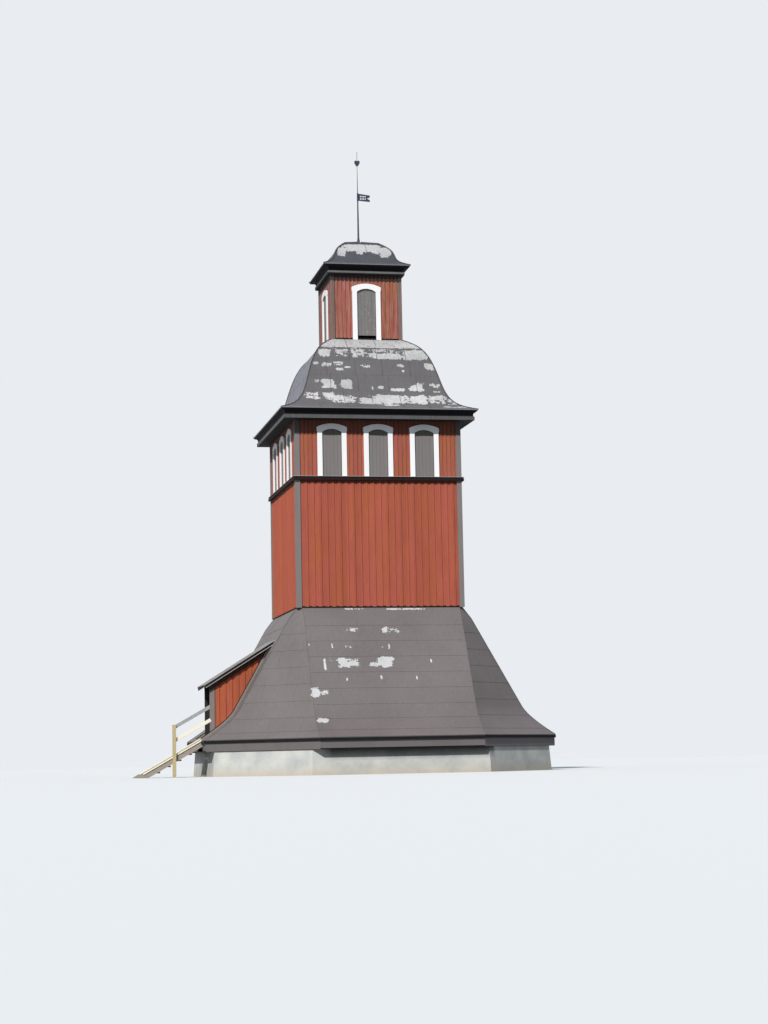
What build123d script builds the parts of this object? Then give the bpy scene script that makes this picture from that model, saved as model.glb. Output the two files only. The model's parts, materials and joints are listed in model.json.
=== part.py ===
from build123d import *

import math
import os

# Free-standing wooden bell tower of a country church, from the ground up.
# Axes: +Z up from the lowest ground, -Y towards the viewer of the front, -X towards the stair.
# The origin is on the tower's upright axis at ground level. All sizes are millimetres.
# A reach is a distance from the axis to a side, a turn is a side's direction in degrees.

# Square stages, measured to the wall's outer face
SHAFT_HALF = 2720
SHAFT_WALL = 180
LANTERN_HALF = 1180
LANTERN_WALL = 100

# Heights of the stages, from the ground up
PLINTH_HEIGHT = 790
EAVE_BOX_HEIGHT = 260
SKIRT_EDGE = 90
SKIRT_FLARE_HEIGHT = 960
SKIRT_SLOPE_HEIGHT = 2830
SKIRT_SHOULDER_HEIGHT = 380
SHAFT_HEIGHT = 4118
BAND_HEIGHT = 124
BELFRY_HEIGHT = 2148
BELL_HEIGHT = 2684
LANTERN_HEIGHT = 2506

# Plinth
PLINTH_SETBACK = 285
PLINTH_SIDE_GAIN = 195
PLINTH_BATTER = 60
PLINTH_WALL = 500

# Skirt roof, in plan from its head to its eave
SKIRT_TUCK = 20
SKIRT_SHOULDER_RUN = 300
SKIRT_SLOPE_RUN = 1600
SKIRT_FLARE_RUN = 1135
SKIRT_FLARE_TURN = (200, 370)
SKIRT_HIP_INSET = 145
ROOF_DECK = 110
FLARE_PULL = 0.7

# Boxed eave under the skirt and the sill beam behind it
FASCIA_SETBACK = 35
FASCIA_THICKNESS = 40
EAVE_SOFFIT_THICKNESS = 25
SILL_WIDTH = 250

# Floors
ENTRANCE_FLOOR_LEVEL = 2450
FLOOR_THICKNESS = 75

# Covered stair on the left side
STAIR_MIDDLE = -1000
STAIR_WIDTH = 1300
STAIR_HEAD_OUT = 620
RISERS = 13
GOING = 338
TREAD_THICKNESS = 45
TREAD_DEPTH = 350
STRINGER_THICKNESS = 50
STRINGER_DEPTH = 230
STRINGER_ABOVE_NOSING = 60
COVER_RUN = 2120
COVER_HEADROOM = 1630
COVER_SLOPE = 0.62
COVER_ROOF_DEPTH = 70
COVER_EAVE_RUN = 190
COVER_OVERHANG = 180
BARGE_DEPTH = 125
BARGE_THICKNESS = 30
COVER_BOARD_WIDTH = 160
COVER_BOARD_THICKNESS = 30
NEWEL_SIZE = 110
RAIL_RUN = 1145
RAIL_DEPTH = 125
RAIL_THICKNESS = 45
TOP_RAIL_RISE = 955
MIDDLE_RAIL_RISE = 530
NEWEL_ABOVE_RAIL = 25

# Trim of the shaft and the lantern
CORNER_BOARD_WIDTH = 165
CORNER_BOARD_THICKNESS = 35
LANTERN_BOARD_WIDTH = 130
BAND_OUT = 100
BAND_SLOPE = 45

# Hatches
HATCH_SPACING = 1530
HATCH_WIDTH = 640
BELFRY_SPRING_HEIGHT = 1451
LANTERN_SPRING_HEIGHT = 1640
HATCH_RISE = 104
CASING_WIDTH = 160
CASING_THICKNESS = 45
EAR_OUT = 16
EAR_LIFT = 30
EAR_HEIGHT = 130
CASING_CROWN = 277
SHUTTER_THICKNESS = 40
SHUTTER_RECESS = 20
LANTERN_SHUTTER_LIFT = 150

# Cornices, as steps out from the wall and down from the roof
CORNICE_DEPTH = 307
CORNICE_STRIP_OUT = 415
CORNICE_STRIP_HEIGHT = 118
CORNICE_STEP = 25
CORNICE_HEAD_OUT = 500
CORNICE_HEAD_HEIGHT = 30
CAP_CORNICE_DEPTH = 290
CAP_STRIP_OUT = 120
CAP_STRIP_HEIGHT = 100
CAP_HEAD_OUT = 272

# Bell roof and cap: overhangs, where the curve turns over, and the pull of each half
BELL_OVERHANG = 528
ROOF_EDGE = 27
BELL_SWAY = (2210, 1165)
BELL_LOWER_TURN = (2456, 285)
BELL_UPPER_TURN = (1881, 2320)
BELL_HEAD_OUT = 25
CAP_OVERHANG = 295
CAP_SWAY = (1030, 405)
CAP_LOWER_TURN = (1090, 205)
CAP_UPPER_TURN = (948, 680)
CAP_SHOULDER = (570, 957)
CAP_CROWN = (70, 1110)
CAP_DECK = 60
BELL_PULL = 0.83

# Iron rod, heart and vane
BOOT_RADIUS = 55
BOOT_HEIGHT = 200
ROD_FOOT_RADIUS = 32
ROD_NECK_RADIUS = 22
ROD_HEAD_RADIUS = 14
ROD_TIP_RADIUS = 7
ROD_SIDES = 8
VANE_RISE = 1470
JOURNAL_RADIUS = 16
JOURNAL_HEIGHT = 290
SLEEVE_GAP = 0.08
SLEEVE_END_GAP = 1
SLEEVE_WALL = 10
HEART_RISE = 2686
HEART_HEIGHT = 219
HEART_WIDTH = 190
HEART_THICKNESS = 26
SPIKE_HEIGHT = 312
FLAG_REACH = 425
FLAG_HEIGHT = 250
FLAG_TAPER = 50
FLAG_DROOP = 30
FLAG_TAIL = 70
FLAG_NOTCH = 105
FLAG_THICKNESS = 8
PIERCING_LENGTH = 54
PIERCING_WIDTH = 36
PIERCING_PITCH = (56, 84)
PIERCINGS = (4, 2)

FAR = 20000
BEND_ARCS = 3
FRONT, RIGHT, BACK, LEFT = 270, 0, 90, 180
MAIN_TURNS = (FRONT, RIGHT, BACK, LEFT)
CORNER_TURNS = (45, 135, 225, 315)

# Levels
skirt_base = PLINTH_HEIGHT + EAVE_BOX_HEIGHT
skirt_eave = skirt_base + SKIRT_EDGE
skirt_knee = skirt_eave + SKIRT_FLARE_HEIGHT
skirt_shoulder = skirt_knee + SKIRT_SLOPE_HEIGHT
shaft_base = skirt_shoulder + SKIRT_SHOULDER_HEIGHT
band_base = shaft_base + SHAFT_HEIGHT
belfry_base = band_base + BAND_HEIGHT
bell_base = belfry_base + BELFRY_HEIGHT
lantern_base = bell_base + BELL_HEIGHT
cap_base = lantern_base + LANTERN_HEIGHT
crown_level = cap_base + CAP_CROWN[1]

# Reaches of the skirt and the plinth
head_reach = SHAFT_HALF - SKIRT_TUCK
shoulder_reach = head_reach + SKIRT_SHOULDER_RUN
knee_reach = shoulder_reach + SKIRT_SLOPE_RUN
eave_reach = knee_reach + SKIRT_FLARE_RUN
hip_side = SHAFT_HALF - SKIRT_HIP_INSET
plinth_reach = eave_reach - PLINTH_SETBACK
plinth_side = hip_side + PLINTH_SIDE_GAIN
shaft_inner = SHAFT_HALF - SHAFT_WALL
lantern_inner = LANTERN_HALF - LANTERN_WALL

# Reaches of the stair, each worked out from the one before it
stair_head_reach = SHAFT_HALF + STAIR_HEAD_OUT
cover_mouth_reach = stair_head_reach + COVER_RUN
newel_reach = cover_mouth_reach + RAIL_RUN

pieces = []


def keep(name, *solids):
    """Puts a piece on the list to be written. Like pieces on one body share a name."""
    part = solids[0] if len(solids) == 1 else Compound(children=list(solids))
    part.label = name
    pieces.append(part)


def section_plane(turn):
    """Upright plane through the axis: its x runs outwards at this turn and its y runs up."""
    angle = math.radians(turn)
    outwards = (math.cos(angle), math.sin(angle), 0)
    across = (math.sin(angle), -math.cos(angle), 0)
    return Plane(origin=(0, 0, 0), x_dir=outwards, z_dir=across)


def plan_plane(turn, level=0):
    """Level plane whose x runs outwards at this turn."""
    angle = math.radians(turn)
    return Plane(origin=(0, 0, level), x_dir=(math.cos(angle), math.sin(angle), 0), z_dir=(0, 0, 1))


def face_plane(turn, reach, middle=0.0):
    """Upright plane on a side's face, at a place along the side. Its y runs up from the ground."""
    angle = math.radians(turn)
    outwards = Vector(math.cos(angle), math.sin(angle), 0)
    along = Vector(-math.sin(angle), math.cos(angle), 0)
    return Plane(origin=outwards * reach + along * middle, x_dir=along, z_dir=outwards)


def stair_plane(y):
    """Upright plane beside the stair: its x runs from the axis out to the left and its y runs up."""
    return Plane(origin=(0, y, 0), x_dir=(-1, 0, 0), z_dir=(0, 1, 0))


def eight_sided(reach, side):
    """Corners of a plan with four main sides at reach, each 2 * side long, and four cut corners."""
    corners = []
    for turn in MAIN_TURNS:
        plane = plan_plane(turn)
        for across in (-side, side):
            corner = plane.from_local_coords((reach, across, 0))
            corners.append((corner.X, corner.Y))
    return corners


def eight_sided_ring(outer, inner, bottom, top):
    """Ring of level boards or beams under the skirt, mitred at the hips."""
    with BuildPart() as ring:
        with BuildSketch(Plane.XY.offset(bottom)):
            Polygon(*eight_sided(outer, hip_side), align=None)
            Polygon(*eight_sided(inner, hip_side), align=None, mode=Mode.SUBTRACT)
        extrude(amount=top - bottom)
    return ring.part


def square_ring(outer, inner, bottom, top):
    """Square frame given by its half widths and levels."""
    with BuildPart() as ring:
        with BuildSketch(Plane.XY.offset(bottom)):
            Rectangle(2 * outer, 2 * outer)
            Rectangle(2 * inner, 2 * inner, mode=Mode.SUBTRACT)
        extrude(amount=top - bottom)
    return ring.part


def bend(start, turn, end, pull):
    """Draws a bend that leaves start and meets end towards the turning point, as a chain of arcs."""
    step = 1 / (2 * BEND_ARCS)
    spots = [start]
    for count in range(1, 2 * BEND_ARCS):
        gone = count * step
        left = 1 - gone
        at_start = left**3 + 3 * left**2 * gone * (1 - pull)
        at_end = gone**3 + 3 * gone**2 * left * (1 - pull)
        at_turn = 1 - at_start - at_end
        spots.append(tuple(at_start * s + at_turn * t + at_end * e for s, t, e in zip(start, turn, end)))
    spots.append(end)
    for first in range(0, 2 * BEND_ARCS, 2):
        ThreePointArc(*spots[first:first + 3])


def stair_side(y, thickness, outline):
    """Board of the stair in an upright plane: its near face at y and its outline as reach, level."""
    with BuildPart() as board:
        with BuildSketch(stair_plane(y)):
            Polygon(*outline, align=None)
        extrude(amount=thickness)
    return board.part


def cut_away(body, *tools):
    """Body with the tools taken out of it."""
    with BuildPart() as cut:
        add(body)
        for tool in tools:
            add(tool, mode=Mode.SUBTRACT)
    return cut.part


# Plinth of rendered masonry, leaning in slightly, in eight lengths of wall
def plinth_wall(turn, reach, side):
    """One length of the plinth, mitred half way round each corner."""
    miter = math.tan(math.radians(22.5))
    outer = reach + PLINTH_BATTER
    inner = reach - PLINTH_WALL
    with BuildPart() as wall:
        with BuildSketch(section_plane(turn)):
            Polygon((inner, 0), (outer, 0), (reach, PLINTH_HEIGHT), (inner, PLINTH_HEIGHT), align=None)
        extrude(amount=FAR, both=True)
        with BuildSketch(plan_plane(turn)):
            Polygon(
                (inner, -side + miter * PLINTH_WALL),
                (outer, -side - miter * PLINTH_BATTER),
                (outer, side + miter * PLINTH_BATTER),
                (inner, side - miter * PLINTH_WALL),
                align=None,
            )
        extrude(amount=PLINTH_HEIGHT, mode=Mode.INTERSECT)
    return wall.part


plinth_corner_reach = (plinth_reach + plinth_side) / math.sqrt(2)
plinth_corner_side = (plinth_reach - plinth_side) / math.sqrt(2)
keep("plinth_sides", *(plinth_wall(turn, plinth_reach, plinth_side) for turn in MAIN_TURNS))
keep("plinth_corners", *(plinth_wall(t, plinth_corner_reach, plinth_corner_side) for t in CORNER_TURNS))


# Lines of the stair and its cover, as levels over the reach
riser = ENTRANCE_FLOOR_LEVEL / RISERS
stair_slope = riser / GOING
stair_near = STAIR_MIDDLE - STAIR_WIDTH / 2
stair_far = STAIR_MIDDLE + STAIR_WIDTH / 2
slot_near = stair_near - STRINGER_THICKNESS
slot_width = STAIR_WIDTH + 2 * STRINGER_THICKNESS


def stringer_top(reach):
    """Level of the stringers' upper edge."""
    return ENTRANCE_FLOOR_LEVEL + STRINGER_ABOVE_NOSING - stair_slope * (reach - stair_head_reach)


def cover_under(reach):
    """Level of the underside of the stair cover's roof."""
    mouth = stringer_top(cover_mouth_reach) + COVER_HEADROOM
    return mouth - COVER_SLOPE * (reach - cover_mouth_reach)


# Solid that stands for the skirt's left side, used to trim what dies into its slope
with BuildPart() as skirt_mass:
    with BuildSketch(section_plane(LEFT)):
        with BuildLine():
            knee_turn = (knee_reach + SKIRT_FLARE_TURN[0], skirt_knee - SKIRT_FLARE_TURN[1])
            Polyline(
                (0, 0), (0, shaft_base), (head_reach, shaft_base), (shoulder_reach, skirt_shoulder),
                (knee_reach, skirt_knee),
            )
            bend((knee_reach, skirt_knee), knee_turn, (eave_reach, skirt_eave), FLARE_PULL)
            Polyline((eave_reach, skirt_eave), (eave_reach, 0), (0, 0))
        make_face()
    extrude(amount=FAR, both=True)

# Slot through the skirt for the stair, up to the underside of its cover
cover_ground = cover_under(0) / COVER_SLOPE
stair_slot = stair_side(slot_near, slot_width, [(0, 0), (0, cover_under(0)), (cover_ground, 0)])
stair_strip = stair_side(slot_near, slot_width, [(0, 0), (0, FAR), (FAR, FAR), (FAR, 0)])

# Way of the stair over the sill, above the underside of its stringers
stair_foot = stair_head_reach + (ENTRANCE_FLOOR_LEVEL + STRINGER_ABOVE_NOSING) / stair_slope
stair_way = stair_side(
    slot_near,
    slot_width,
    [(0, stringer_top(0) - STRINGER_DEPTH), (0, FAR), (FAR, FAR), (stair_foot, -STRINGER_DEPTH)],
)


# Skirt roof: straight slopes that flare out at the eave, mitred at the hips
def skirt_slope(turn, at_corner=False):
    """One slope of the skirt. The corner slopes widen from a sliver at the shaft to the eave."""
    shrink = math.sqrt(2) if at_corner else 1
    start = hip_side if at_corner else 0

    def spot(reach, level):
        return ((start + reach) / shrink, level)

    turned = (knee_reach + SKIRT_FLARE_TURN[0], skirt_knee - SKIRT_FLARE_TURN[1])
    turned_in = (turned[0] - ROOF_DECK, turned[1])
    eave_in = eave_reach - ROOF_DECK
    with BuildPart() as slope:
        with BuildSketch(section_plane(turn)):
            with BuildLine():
                Polyline(
                    spot(head_reach - ROOF_DECK, shaft_base),
                    spot(head_reach, shaft_base),
                    spot(shoulder_reach, skirt_shoulder),
                    spot(knee_reach, skirt_knee),
                )
                bend(spot(knee_reach, skirt_knee), spot(*turned), spot(eave_reach, skirt_eave), FLARE_PULL)
                Polyline(
                    spot(eave_reach, skirt_eave),
                    spot(eave_reach, skirt_base),
                    spot(eave_in, skirt_base),
                    spot(eave_in, skirt_eave),
                )
                bend(
                    spot(eave_in, skirt_eave),
                    spot(*turned_in),
                    spot(knee_reach - ROOF_DECK, skirt_knee),
                    FLARE_PULL,
                )
                Polyline(
                    spot(knee_reach - ROOF_DECK, skirt_knee),
                    spot(shoulder_reach - ROOF_DECK, skirt_shoulder),
                    spot(head_reach - ROOF_DECK, shaft_base),
                )
            make_face()
        extrude(amount=FAR, both=True)
        with BuildSketch(plan_plane(turn)):
            if at_corner:
                narrow = hip_side * math.sqrt(2)
                Polygon((narrow, 0), (narrow + FAR, -FAR), (narrow + FAR, FAR), align=None)
            else:
                with Locations((FAR / 2, 0)):
                    Rectangle(FAR, 2 * hip_side)
        extrude(amount=FAR, mode=Mode.INTERSECT)
    return slope.part


left_slope = skirt_slope(LEFT)
with BuildPart() as left_slope_top:
    add(left_slope)
    add(stair_strip, mode=Mode.INTERSECT)
    add(stair_slot, mode=Mode.SUBTRACT)
keep("skirt_front_slope", skirt_slope(FRONT))
keep("skirt_right_slope", skirt_slope(RIGHT))
keep("skirt_back_slope", skirt_slope(BACK))
keep("skirt_left_slope_sides", cut_away(left_slope, stair_strip))
keep("skirt_left_slope_top", left_slope_top.part)
keep("skirt_corner_slopes", *(skirt_slope(turn, True) for turn in CORNER_TURNS))

# Sill beam on the plinth and the boxed eave that closes the overhang
sill_reach = plinth_reach
box_reach = eave_reach - FASCIA_SETBACK
sill = eight_sided_ring(sill_reach, sill_reach - SILL_WIDTH, PLINTH_HEIGHT, skirt_base)
fascia = eight_sided_ring(box_reach, box_reach - FASCIA_THICKNESS, PLINTH_HEIGHT, skirt_base)
soffit = eight_sided_ring(
    box_reach - FASCIA_THICKNESS, sill_reach, PLINTH_HEIGHT, PLINTH_HEIGHT + EAVE_SOFFIT_THICKNESS
)
with BuildPart() as eave_box:
    add(fascia)
    add(soffit)
    add(stair_slot, mode=Mode.SUBTRACT)
keep("sill_beam", cut_away(sill, stair_way))
keep("skirt_eave_boards", eave_box.part)

# Entrance floor inside the skirt, notched for the head of the stair
slope_ratio = SKIRT_SLOPE_RUN / SKIRT_SLOPE_HEIGHT
floor_reach = knee_reach - ROOF_DECK - slope_ratio * (ENTRANCE_FLOOR_LEVEL - skirt_knee)
with BuildPart() as entrance_floor:
    with BuildSketch(Plane.XY.offset(ENTRANCE_FLOOR_LEVEL - FLOOR_THICKNESS)):
        Polygon(*eight_sided(floor_reach, hip_side), align=None)
        with Locations((-stair_head_reach - FAR / 2, STAIR_MIDDLE)):
            Rectangle(FAR, slot_width, mode=Mode.SUBTRACT)
    extrude(amount=FLOOR_THICKNESS)
keep("entrance_floor", entrance_floor.part)

# Stair: two stringers, treads housed between them, side walls on top and a pitched cover
stringer_heel = stair_foot - STRINGER_DEPTH / stair_slope
stringer_outline = [
    (stair_head_reach, stringer_top(stair_head_reach)),
    (stair_foot, 0),
    (stringer_heel, 0),
    (stair_head_reach, stringer_top(stair_head_reach) - STRINGER_DEPTH),
]
stringer_faces = (slot_near, stair_far)
keep("stair_stringers", *(stair_side(y, STRINGER_THICKNESS, stringer_outline) for y in stringer_faces))

treads = []
for step in range(1, RISERS):
    nosing = stair_head_reach + step * GOING
    with BuildPart() as tread:
        with BuildSketch(Plane.XY.offset(ENTRANCE_FLOOR_LEVEL - step * riser - TREAD_THICKNESS)):
            with Locations((-nosing + TREAD_DEPTH / 2, STAIR_MIDDLE)):
                Rectangle(TREAD_DEPTH, STAIR_WIDTH)
        extrude(amount=TREAD_THICKNESS)
    treads.append(tread.part)
keep("stair_treads", *treads)

cover_wall_outline = [
    (stair_head_reach, stringer_top(stair_head_reach)),
    (stair_head_reach, cover_under(stair_head_reach)),
    (cover_mouth_reach, cover_under(cover_mouth_reach)),
    (cover_mouth_reach, stringer_top(cover_mouth_reach)),
]
keep("stair_cover_walls", *(stair_side(y, STRINGER_THICKNESS, cover_wall_outline) for y in stringer_faces))

roof_tip = cover_mouth_reach + COVER_EAVE_RUN
cover_roof_outline = [
    (head_reach, cover_under(head_reach)),
    (head_reach, cover_under(head_reach) + COVER_ROOF_DEPTH),
    (roof_tip, cover_under(roof_tip) + COVER_ROOF_DEPTH),
    (roof_tip, cover_under(roof_tip)),
]
cover_near = slot_near - COVER_OVERHANG
cover_width = slot_width + 2 * COVER_OVERHANG
cover_roof = stair_side(cover_near, cover_width, cover_roof_outline)
keep("stair_cover_roof", cut_away(cover_roof, skirt_mass.part))

barge_outline = [
    (head_reach, cover_under(head_reach)),
    (roof_tip, cover_under(roof_tip)),
    (roof_tip, cover_under(roof_tip) - BARGE_DEPTH + COVER_ROOF_DEPTH),
    (head_reach, cover_under(head_reach) - BARGE_DEPTH + COVER_ROOF_DEPTH),
]
barge_faces = (cover_near, cover_near + cover_width - BARGE_THICKNESS)
barges = [cut_away(stair_side(y, BARGE_THICKNESS, barge_outline), skirt_mass.part) for y in barge_faces]

cover_board_inner = cover_mouth_reach - COVER_BOARD_WIDTH
cover_board_outline = [
    (cover_mouth_reach, 0),
    (cover_mouth_reach, cover_under(cover_mouth_reach)),
    (cover_board_inner, cover_under(cover_board_inner)),
    (cover_board_inner, 0),
]
cover_board_faces = (slot_near - COVER_BOARD_THICKNESS, slot_near + slot_width)
cover_boards = [
    cut_away(stair_side(y, COVER_BOARD_THICKNESS, cover_board_outline), skirt_mass.part)
    for y in cover_board_faces
]
keep("stair_cover_trim", *barges, *cover_boards)

# Railing on the near side: a newel outside the stringer and two rails along its outer face
newel_outer = newel_reach + NEWEL_SIZE / 2
newel_inner = newel_reach - NEWEL_SIZE / 2
newel_top = stringer_top(newel_reach) + TOP_RAIL_RISE + NEWEL_ABOVE_RAIL
newel_outline = [(newel_inner, 0), (newel_inner, newel_top), (newel_outer, newel_top), (newel_outer, 0)]
keep("stair_newel", stair_side(slot_near - NEWEL_SIZE, NEWEL_SIZE, newel_outline))

rails = []
for rise in (TOP_RAIL_RISE, MIDDLE_RAIL_RISE):
    rail_outline = [
        (newel_inner, stringer_top(newel_inner) + rise),
        (cover_mouth_reach, stringer_top(cover_mouth_reach) + rise),
        (cover_mouth_reach, stringer_top(cover_mouth_reach) + rise - RAIL_DEPTH),
        (newel_inner, stringer_top(newel_inner) + rise - RAIL_DEPTH),
    ]
    rails.append(stair_side(slot_near - RAIL_THICKNESS / 2, RAIL_THICKNESS, rail_outline))
keep("stair_rails", *rails)


# Square stages
def hatch_outline(sill, spring):
    """Outline of a hatch: upright sides under a low arch."""
    half = HATCH_WIDTH / 2
    with BuildLine() as outline:
        Polyline((-half, spring), (-half, sill), (half, sill), (half, spring))
        ThreePointArc((half, spring), (0, spring + HATCH_RISE), (-half, spring))
    return outline.line


def stage_wall(turn, half, thickness, levels, hatches=(), spring=0.0):
    """Wall of a square stage, with its hatches cut through. Front and back walls lap the others."""
    bottom, top = levels
    length = 2 * half if turn in (FRONT, BACK) else 2 * (half - thickness)
    with BuildPart() as wall:
        with BuildSketch(face_plane(turn, half)):
            with Locations((0, (bottom + top) / 2)):
                Rectangle(length, top - bottom)
        extrude(amount=-thickness)
        for middle in hatches:
            with BuildSketch(face_plane(turn, half, middle)):
                add(hatch_outline(bottom, bottom + spring))
                make_face()
            extrude(amount=-thickness, mode=Mode.SUBTRACT)
    return wall.part


def corner_boards(half, width, bottom, top):
    """Four angles of board that cover a stage's corners."""
    outer = half + CORNER_BOARD_THICKNESS
    angles = []
    for turn in MAIN_TURNS:
        with BuildPart() as angle:
            with BuildSketch(plan_plane(turn, bottom)):
                Polygon(
                    (outer, outer), (outer, outer - width), (half, outer - width), (half, half),
                    (outer - width, half), (outer - width, outer),
                    align=None,
                )
            extrude(amount=top - bottom)
        angles.append(angle.part)
    return angles


def casing(turn, half, middle, sill, spring):
    """Board casing round a hatch: two jambs and an arched head with square ears."""
    inner = HATCH_WIDTH / 2
    outer = inner + CASING_WIDTH
    ear = outer + EAR_OUT
    with BuildPart() as trim:
        with BuildSketch(face_plane(turn, half, middle)):
            with BuildLine():
                Polyline(
                    (-inner, sill), (-outer, sill), (-outer, spring + EAR_LIFT), (-ear, spring + EAR_LIFT),
                    (-ear, spring + EAR_LIFT + EAR_HEIGHT),
                )
                ThreePointArc(
                    (-ear, spring + EAR_LIFT + EAR_HEIGHT),
                    (0, spring + CASING_CROWN),
                    (ear, spring + EAR_LIFT + EAR_HEIGHT),
                )
                Polyline(
                    (ear, spring + EAR_LIFT + EAR_HEIGHT), (ear, spring + EAR_LIFT),
                    (outer, spring + EAR_LIFT), (outer, sill), (inner, sill), (inner, spring),
                )
                ThreePointArc((inner, spring), (0, spring + HATCH_RISE), (-inner, spring))
                Line((-inner, spring), (-inner, sill))
            make_face()
        extrude(amount=CASING_THICKNESS)
    return trim.part


def shutter(turn, half, middle, sill, spring):
    """Board shutter that fills a hatch just behind the wall's face."""
    with BuildPart() as leaf:
        with BuildSketch(face_plane(turn, half - SHUTTER_RECESS, middle)):
            add(hatch_outline(sill, spring))
            make_face()
        extrude(amount=-SHUTTER_THICKNESS)
    return leaf.part


def cornice(half, top, depth, strip_out, strip_height, head_out):
    """Boxed cornice round a stage: a soffit, an upright strip and a coved head under the roof."""
    strip_top = top - depth + strip_height
    head_bottom = top - CORNICE_HEAD_HEIGHT
    cove_start = (half + strip_out - CORNICE_STEP, strip_top + CORNICE_STEP)
    cove_end = (half + head_out, head_bottom)
    cove_turn = (cove_start[0], cove_end[1])
    lengths = []
    for turn in MAIN_TURNS:
        with BuildPart() as length:
            with BuildSketch(section_plane(turn)):
                with BuildLine():
                    Polyline(
                        (half, top), (half, top - depth), (half + strip_out, top - depth),
                        (half + strip_out, strip_top), (half + strip_out - CORNICE_STEP, strip_top),
                        cove_start,
                    )
                    bend(cove_start, cove_turn, cove_end, FLARE_PULL)
                    Polyline(cove_end, (half + head_out, top), (half, top))
                make_face()
            extrude(amount=FAR, both=True)
            with BuildSketch(plan_plane(turn)):
                Polygon((0, 0), (FAR, -FAR), (FAR, FAR), align=None)
            extrude(amount=FAR + top, mode=Mode.INTERSECT)
        lengths.append(length.part)
    with BuildPart() as ring:
        for length in lengths:
            add(length)
    return ring.part


belfry_hatches = (-HATCH_SPACING, 0, HATCH_SPACING)
belfry_spring = belfry_base + BELFRY_SPRING_HEIGHT
belfry_soffit = bell_base - CORNICE_DEPTH
for name, turn in (("front", FRONT), ("right", RIGHT), ("back", BACK), ("left", LEFT)):
    keep(f"shaft_{name}_wall", stage_wall(turn, SHAFT_HALF, SHAFT_WALL, (shaft_base, belfry_base)))
for name, turn in (("front", FRONT), ("right", RIGHT), ("back", BACK), ("left", LEFT)):
    keep(
        f"belfry_{name}_wall",
        stage_wall(
            turn, SHAFT_HALF, SHAFT_WALL, (belfry_base, bell_base), belfry_hatches, BELFRY_SPRING_HEIGHT
        ),
    )
keep(
    "corner_boards",
    *corner_boards(SHAFT_HALF, CORNER_BOARD_WIDTH, shaft_base, band_base),
    *corner_boards(SHAFT_HALF, CORNER_BOARD_WIDTH, belfry_base, belfry_soffit),
)

with BuildPart() as drip_band:
    add(square_ring(SHAFT_HALF + BAND_OUT, SHAFT_HALF, band_base, belfry_base))
    top_edges = drip_band.faces().sort_by(Axis.Z)[-1].outer_wire().edges()
    chamfer(top_edges, length=BAND_SLOPE)
keep("drip_band", drip_band.part)

with BuildPart() as belfry_floor:
    with BuildSketch(Plane.XY.offset(belfry_base - FLOOR_THICKNESS)):
        Rectangle(2 * shaft_inner, 2 * shaft_inner)
    extrude(amount=FLOOR_THICKNESS)
keep("belfry_floor", belfry_floor.part)

belfry_places = [(turn, middle) for turn in MAIN_TURNS for middle in belfry_hatches]
keep("belfry_casings", *(casing(t, SHAFT_HALF, m, belfry_base, belfry_spring) for t, m in belfry_places))
keep("belfry_shutters", *(shutter(t, SHAFT_HALF, m, belfry_base, belfry_spring) for t, m in belfry_places))
keep(
    "belfry_cornice",
    cornice(
        SHAFT_HALF, bell_base, CORNICE_DEPTH, CORNICE_STRIP_OUT, CORNICE_STRIP_HEIGHT, CORNICE_HEAD_OUT
    ),
)


# Bell-shaped roofs
def bell_section(base, points, deck):
    """Outline of a bell roof's section: its outer curve and the same curve set in by the deck."""
    outer = [(reach, base + rise) for reach, rise in points]
    inner = [(reach - deck, level) for reach, level in outer]
    with BuildLine() as section:
        for curve in (outer, inner):
            bend(curve[0], curve[1], curve[2], BELL_PULL)
            bend(curve[2], curve[3], curve[4], BELL_PULL)
            if len(curve) > 5:
                Line(curve[4], curve[5])
        Line(outer[-1], inner[-1])
        Polyline(outer[0], (outer[0][0], base), (inner[0][0], base), inner[0])
    return section.line


def bell_side(turn, base, points, deck):
    """One side of a bell roof, mitred at the hips."""
    with BuildPart() as side:
        with BuildSketch(section_plane(turn)):
            add(bell_section(base, points, deck))
            make_face()
        extrude(amount=FAR, both=True)
        with BuildSketch(plan_plane(turn)):
            Polygon((0, 0), (FAR, -FAR), (FAR, FAR), align=None)
        extrude(amount=FAR + base, mode=Mode.INTERSECT)
    return side.part


bell_points = [
    (SHAFT_HALF + BELL_OVERHANG, ROOF_EDGE),
    BELL_LOWER_TURN,
    BELL_SWAY,
    BELL_UPPER_TURN,
    (LANTERN_HALF + BELL_HEAD_OUT, BELL_HEIGHT),
]
cap_points = [
    (LANTERN_HALF + CAP_OVERHANG, ROOF_EDGE),
    CAP_LOWER_TURN,
    CAP_SWAY,
    CAP_UPPER_TURN,
    CAP_SHOULDER,
    CAP_CROWN,
]
keep("bell_roof_front_back", *(bell_side(t, bell_base, bell_points, ROOF_DECK) for t in (FRONT, BACK)))
keep("bell_roof_sides", *(bell_side(t, bell_base, bell_points, ROOF_DECK) for t in (RIGHT, LEFT)))

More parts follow.
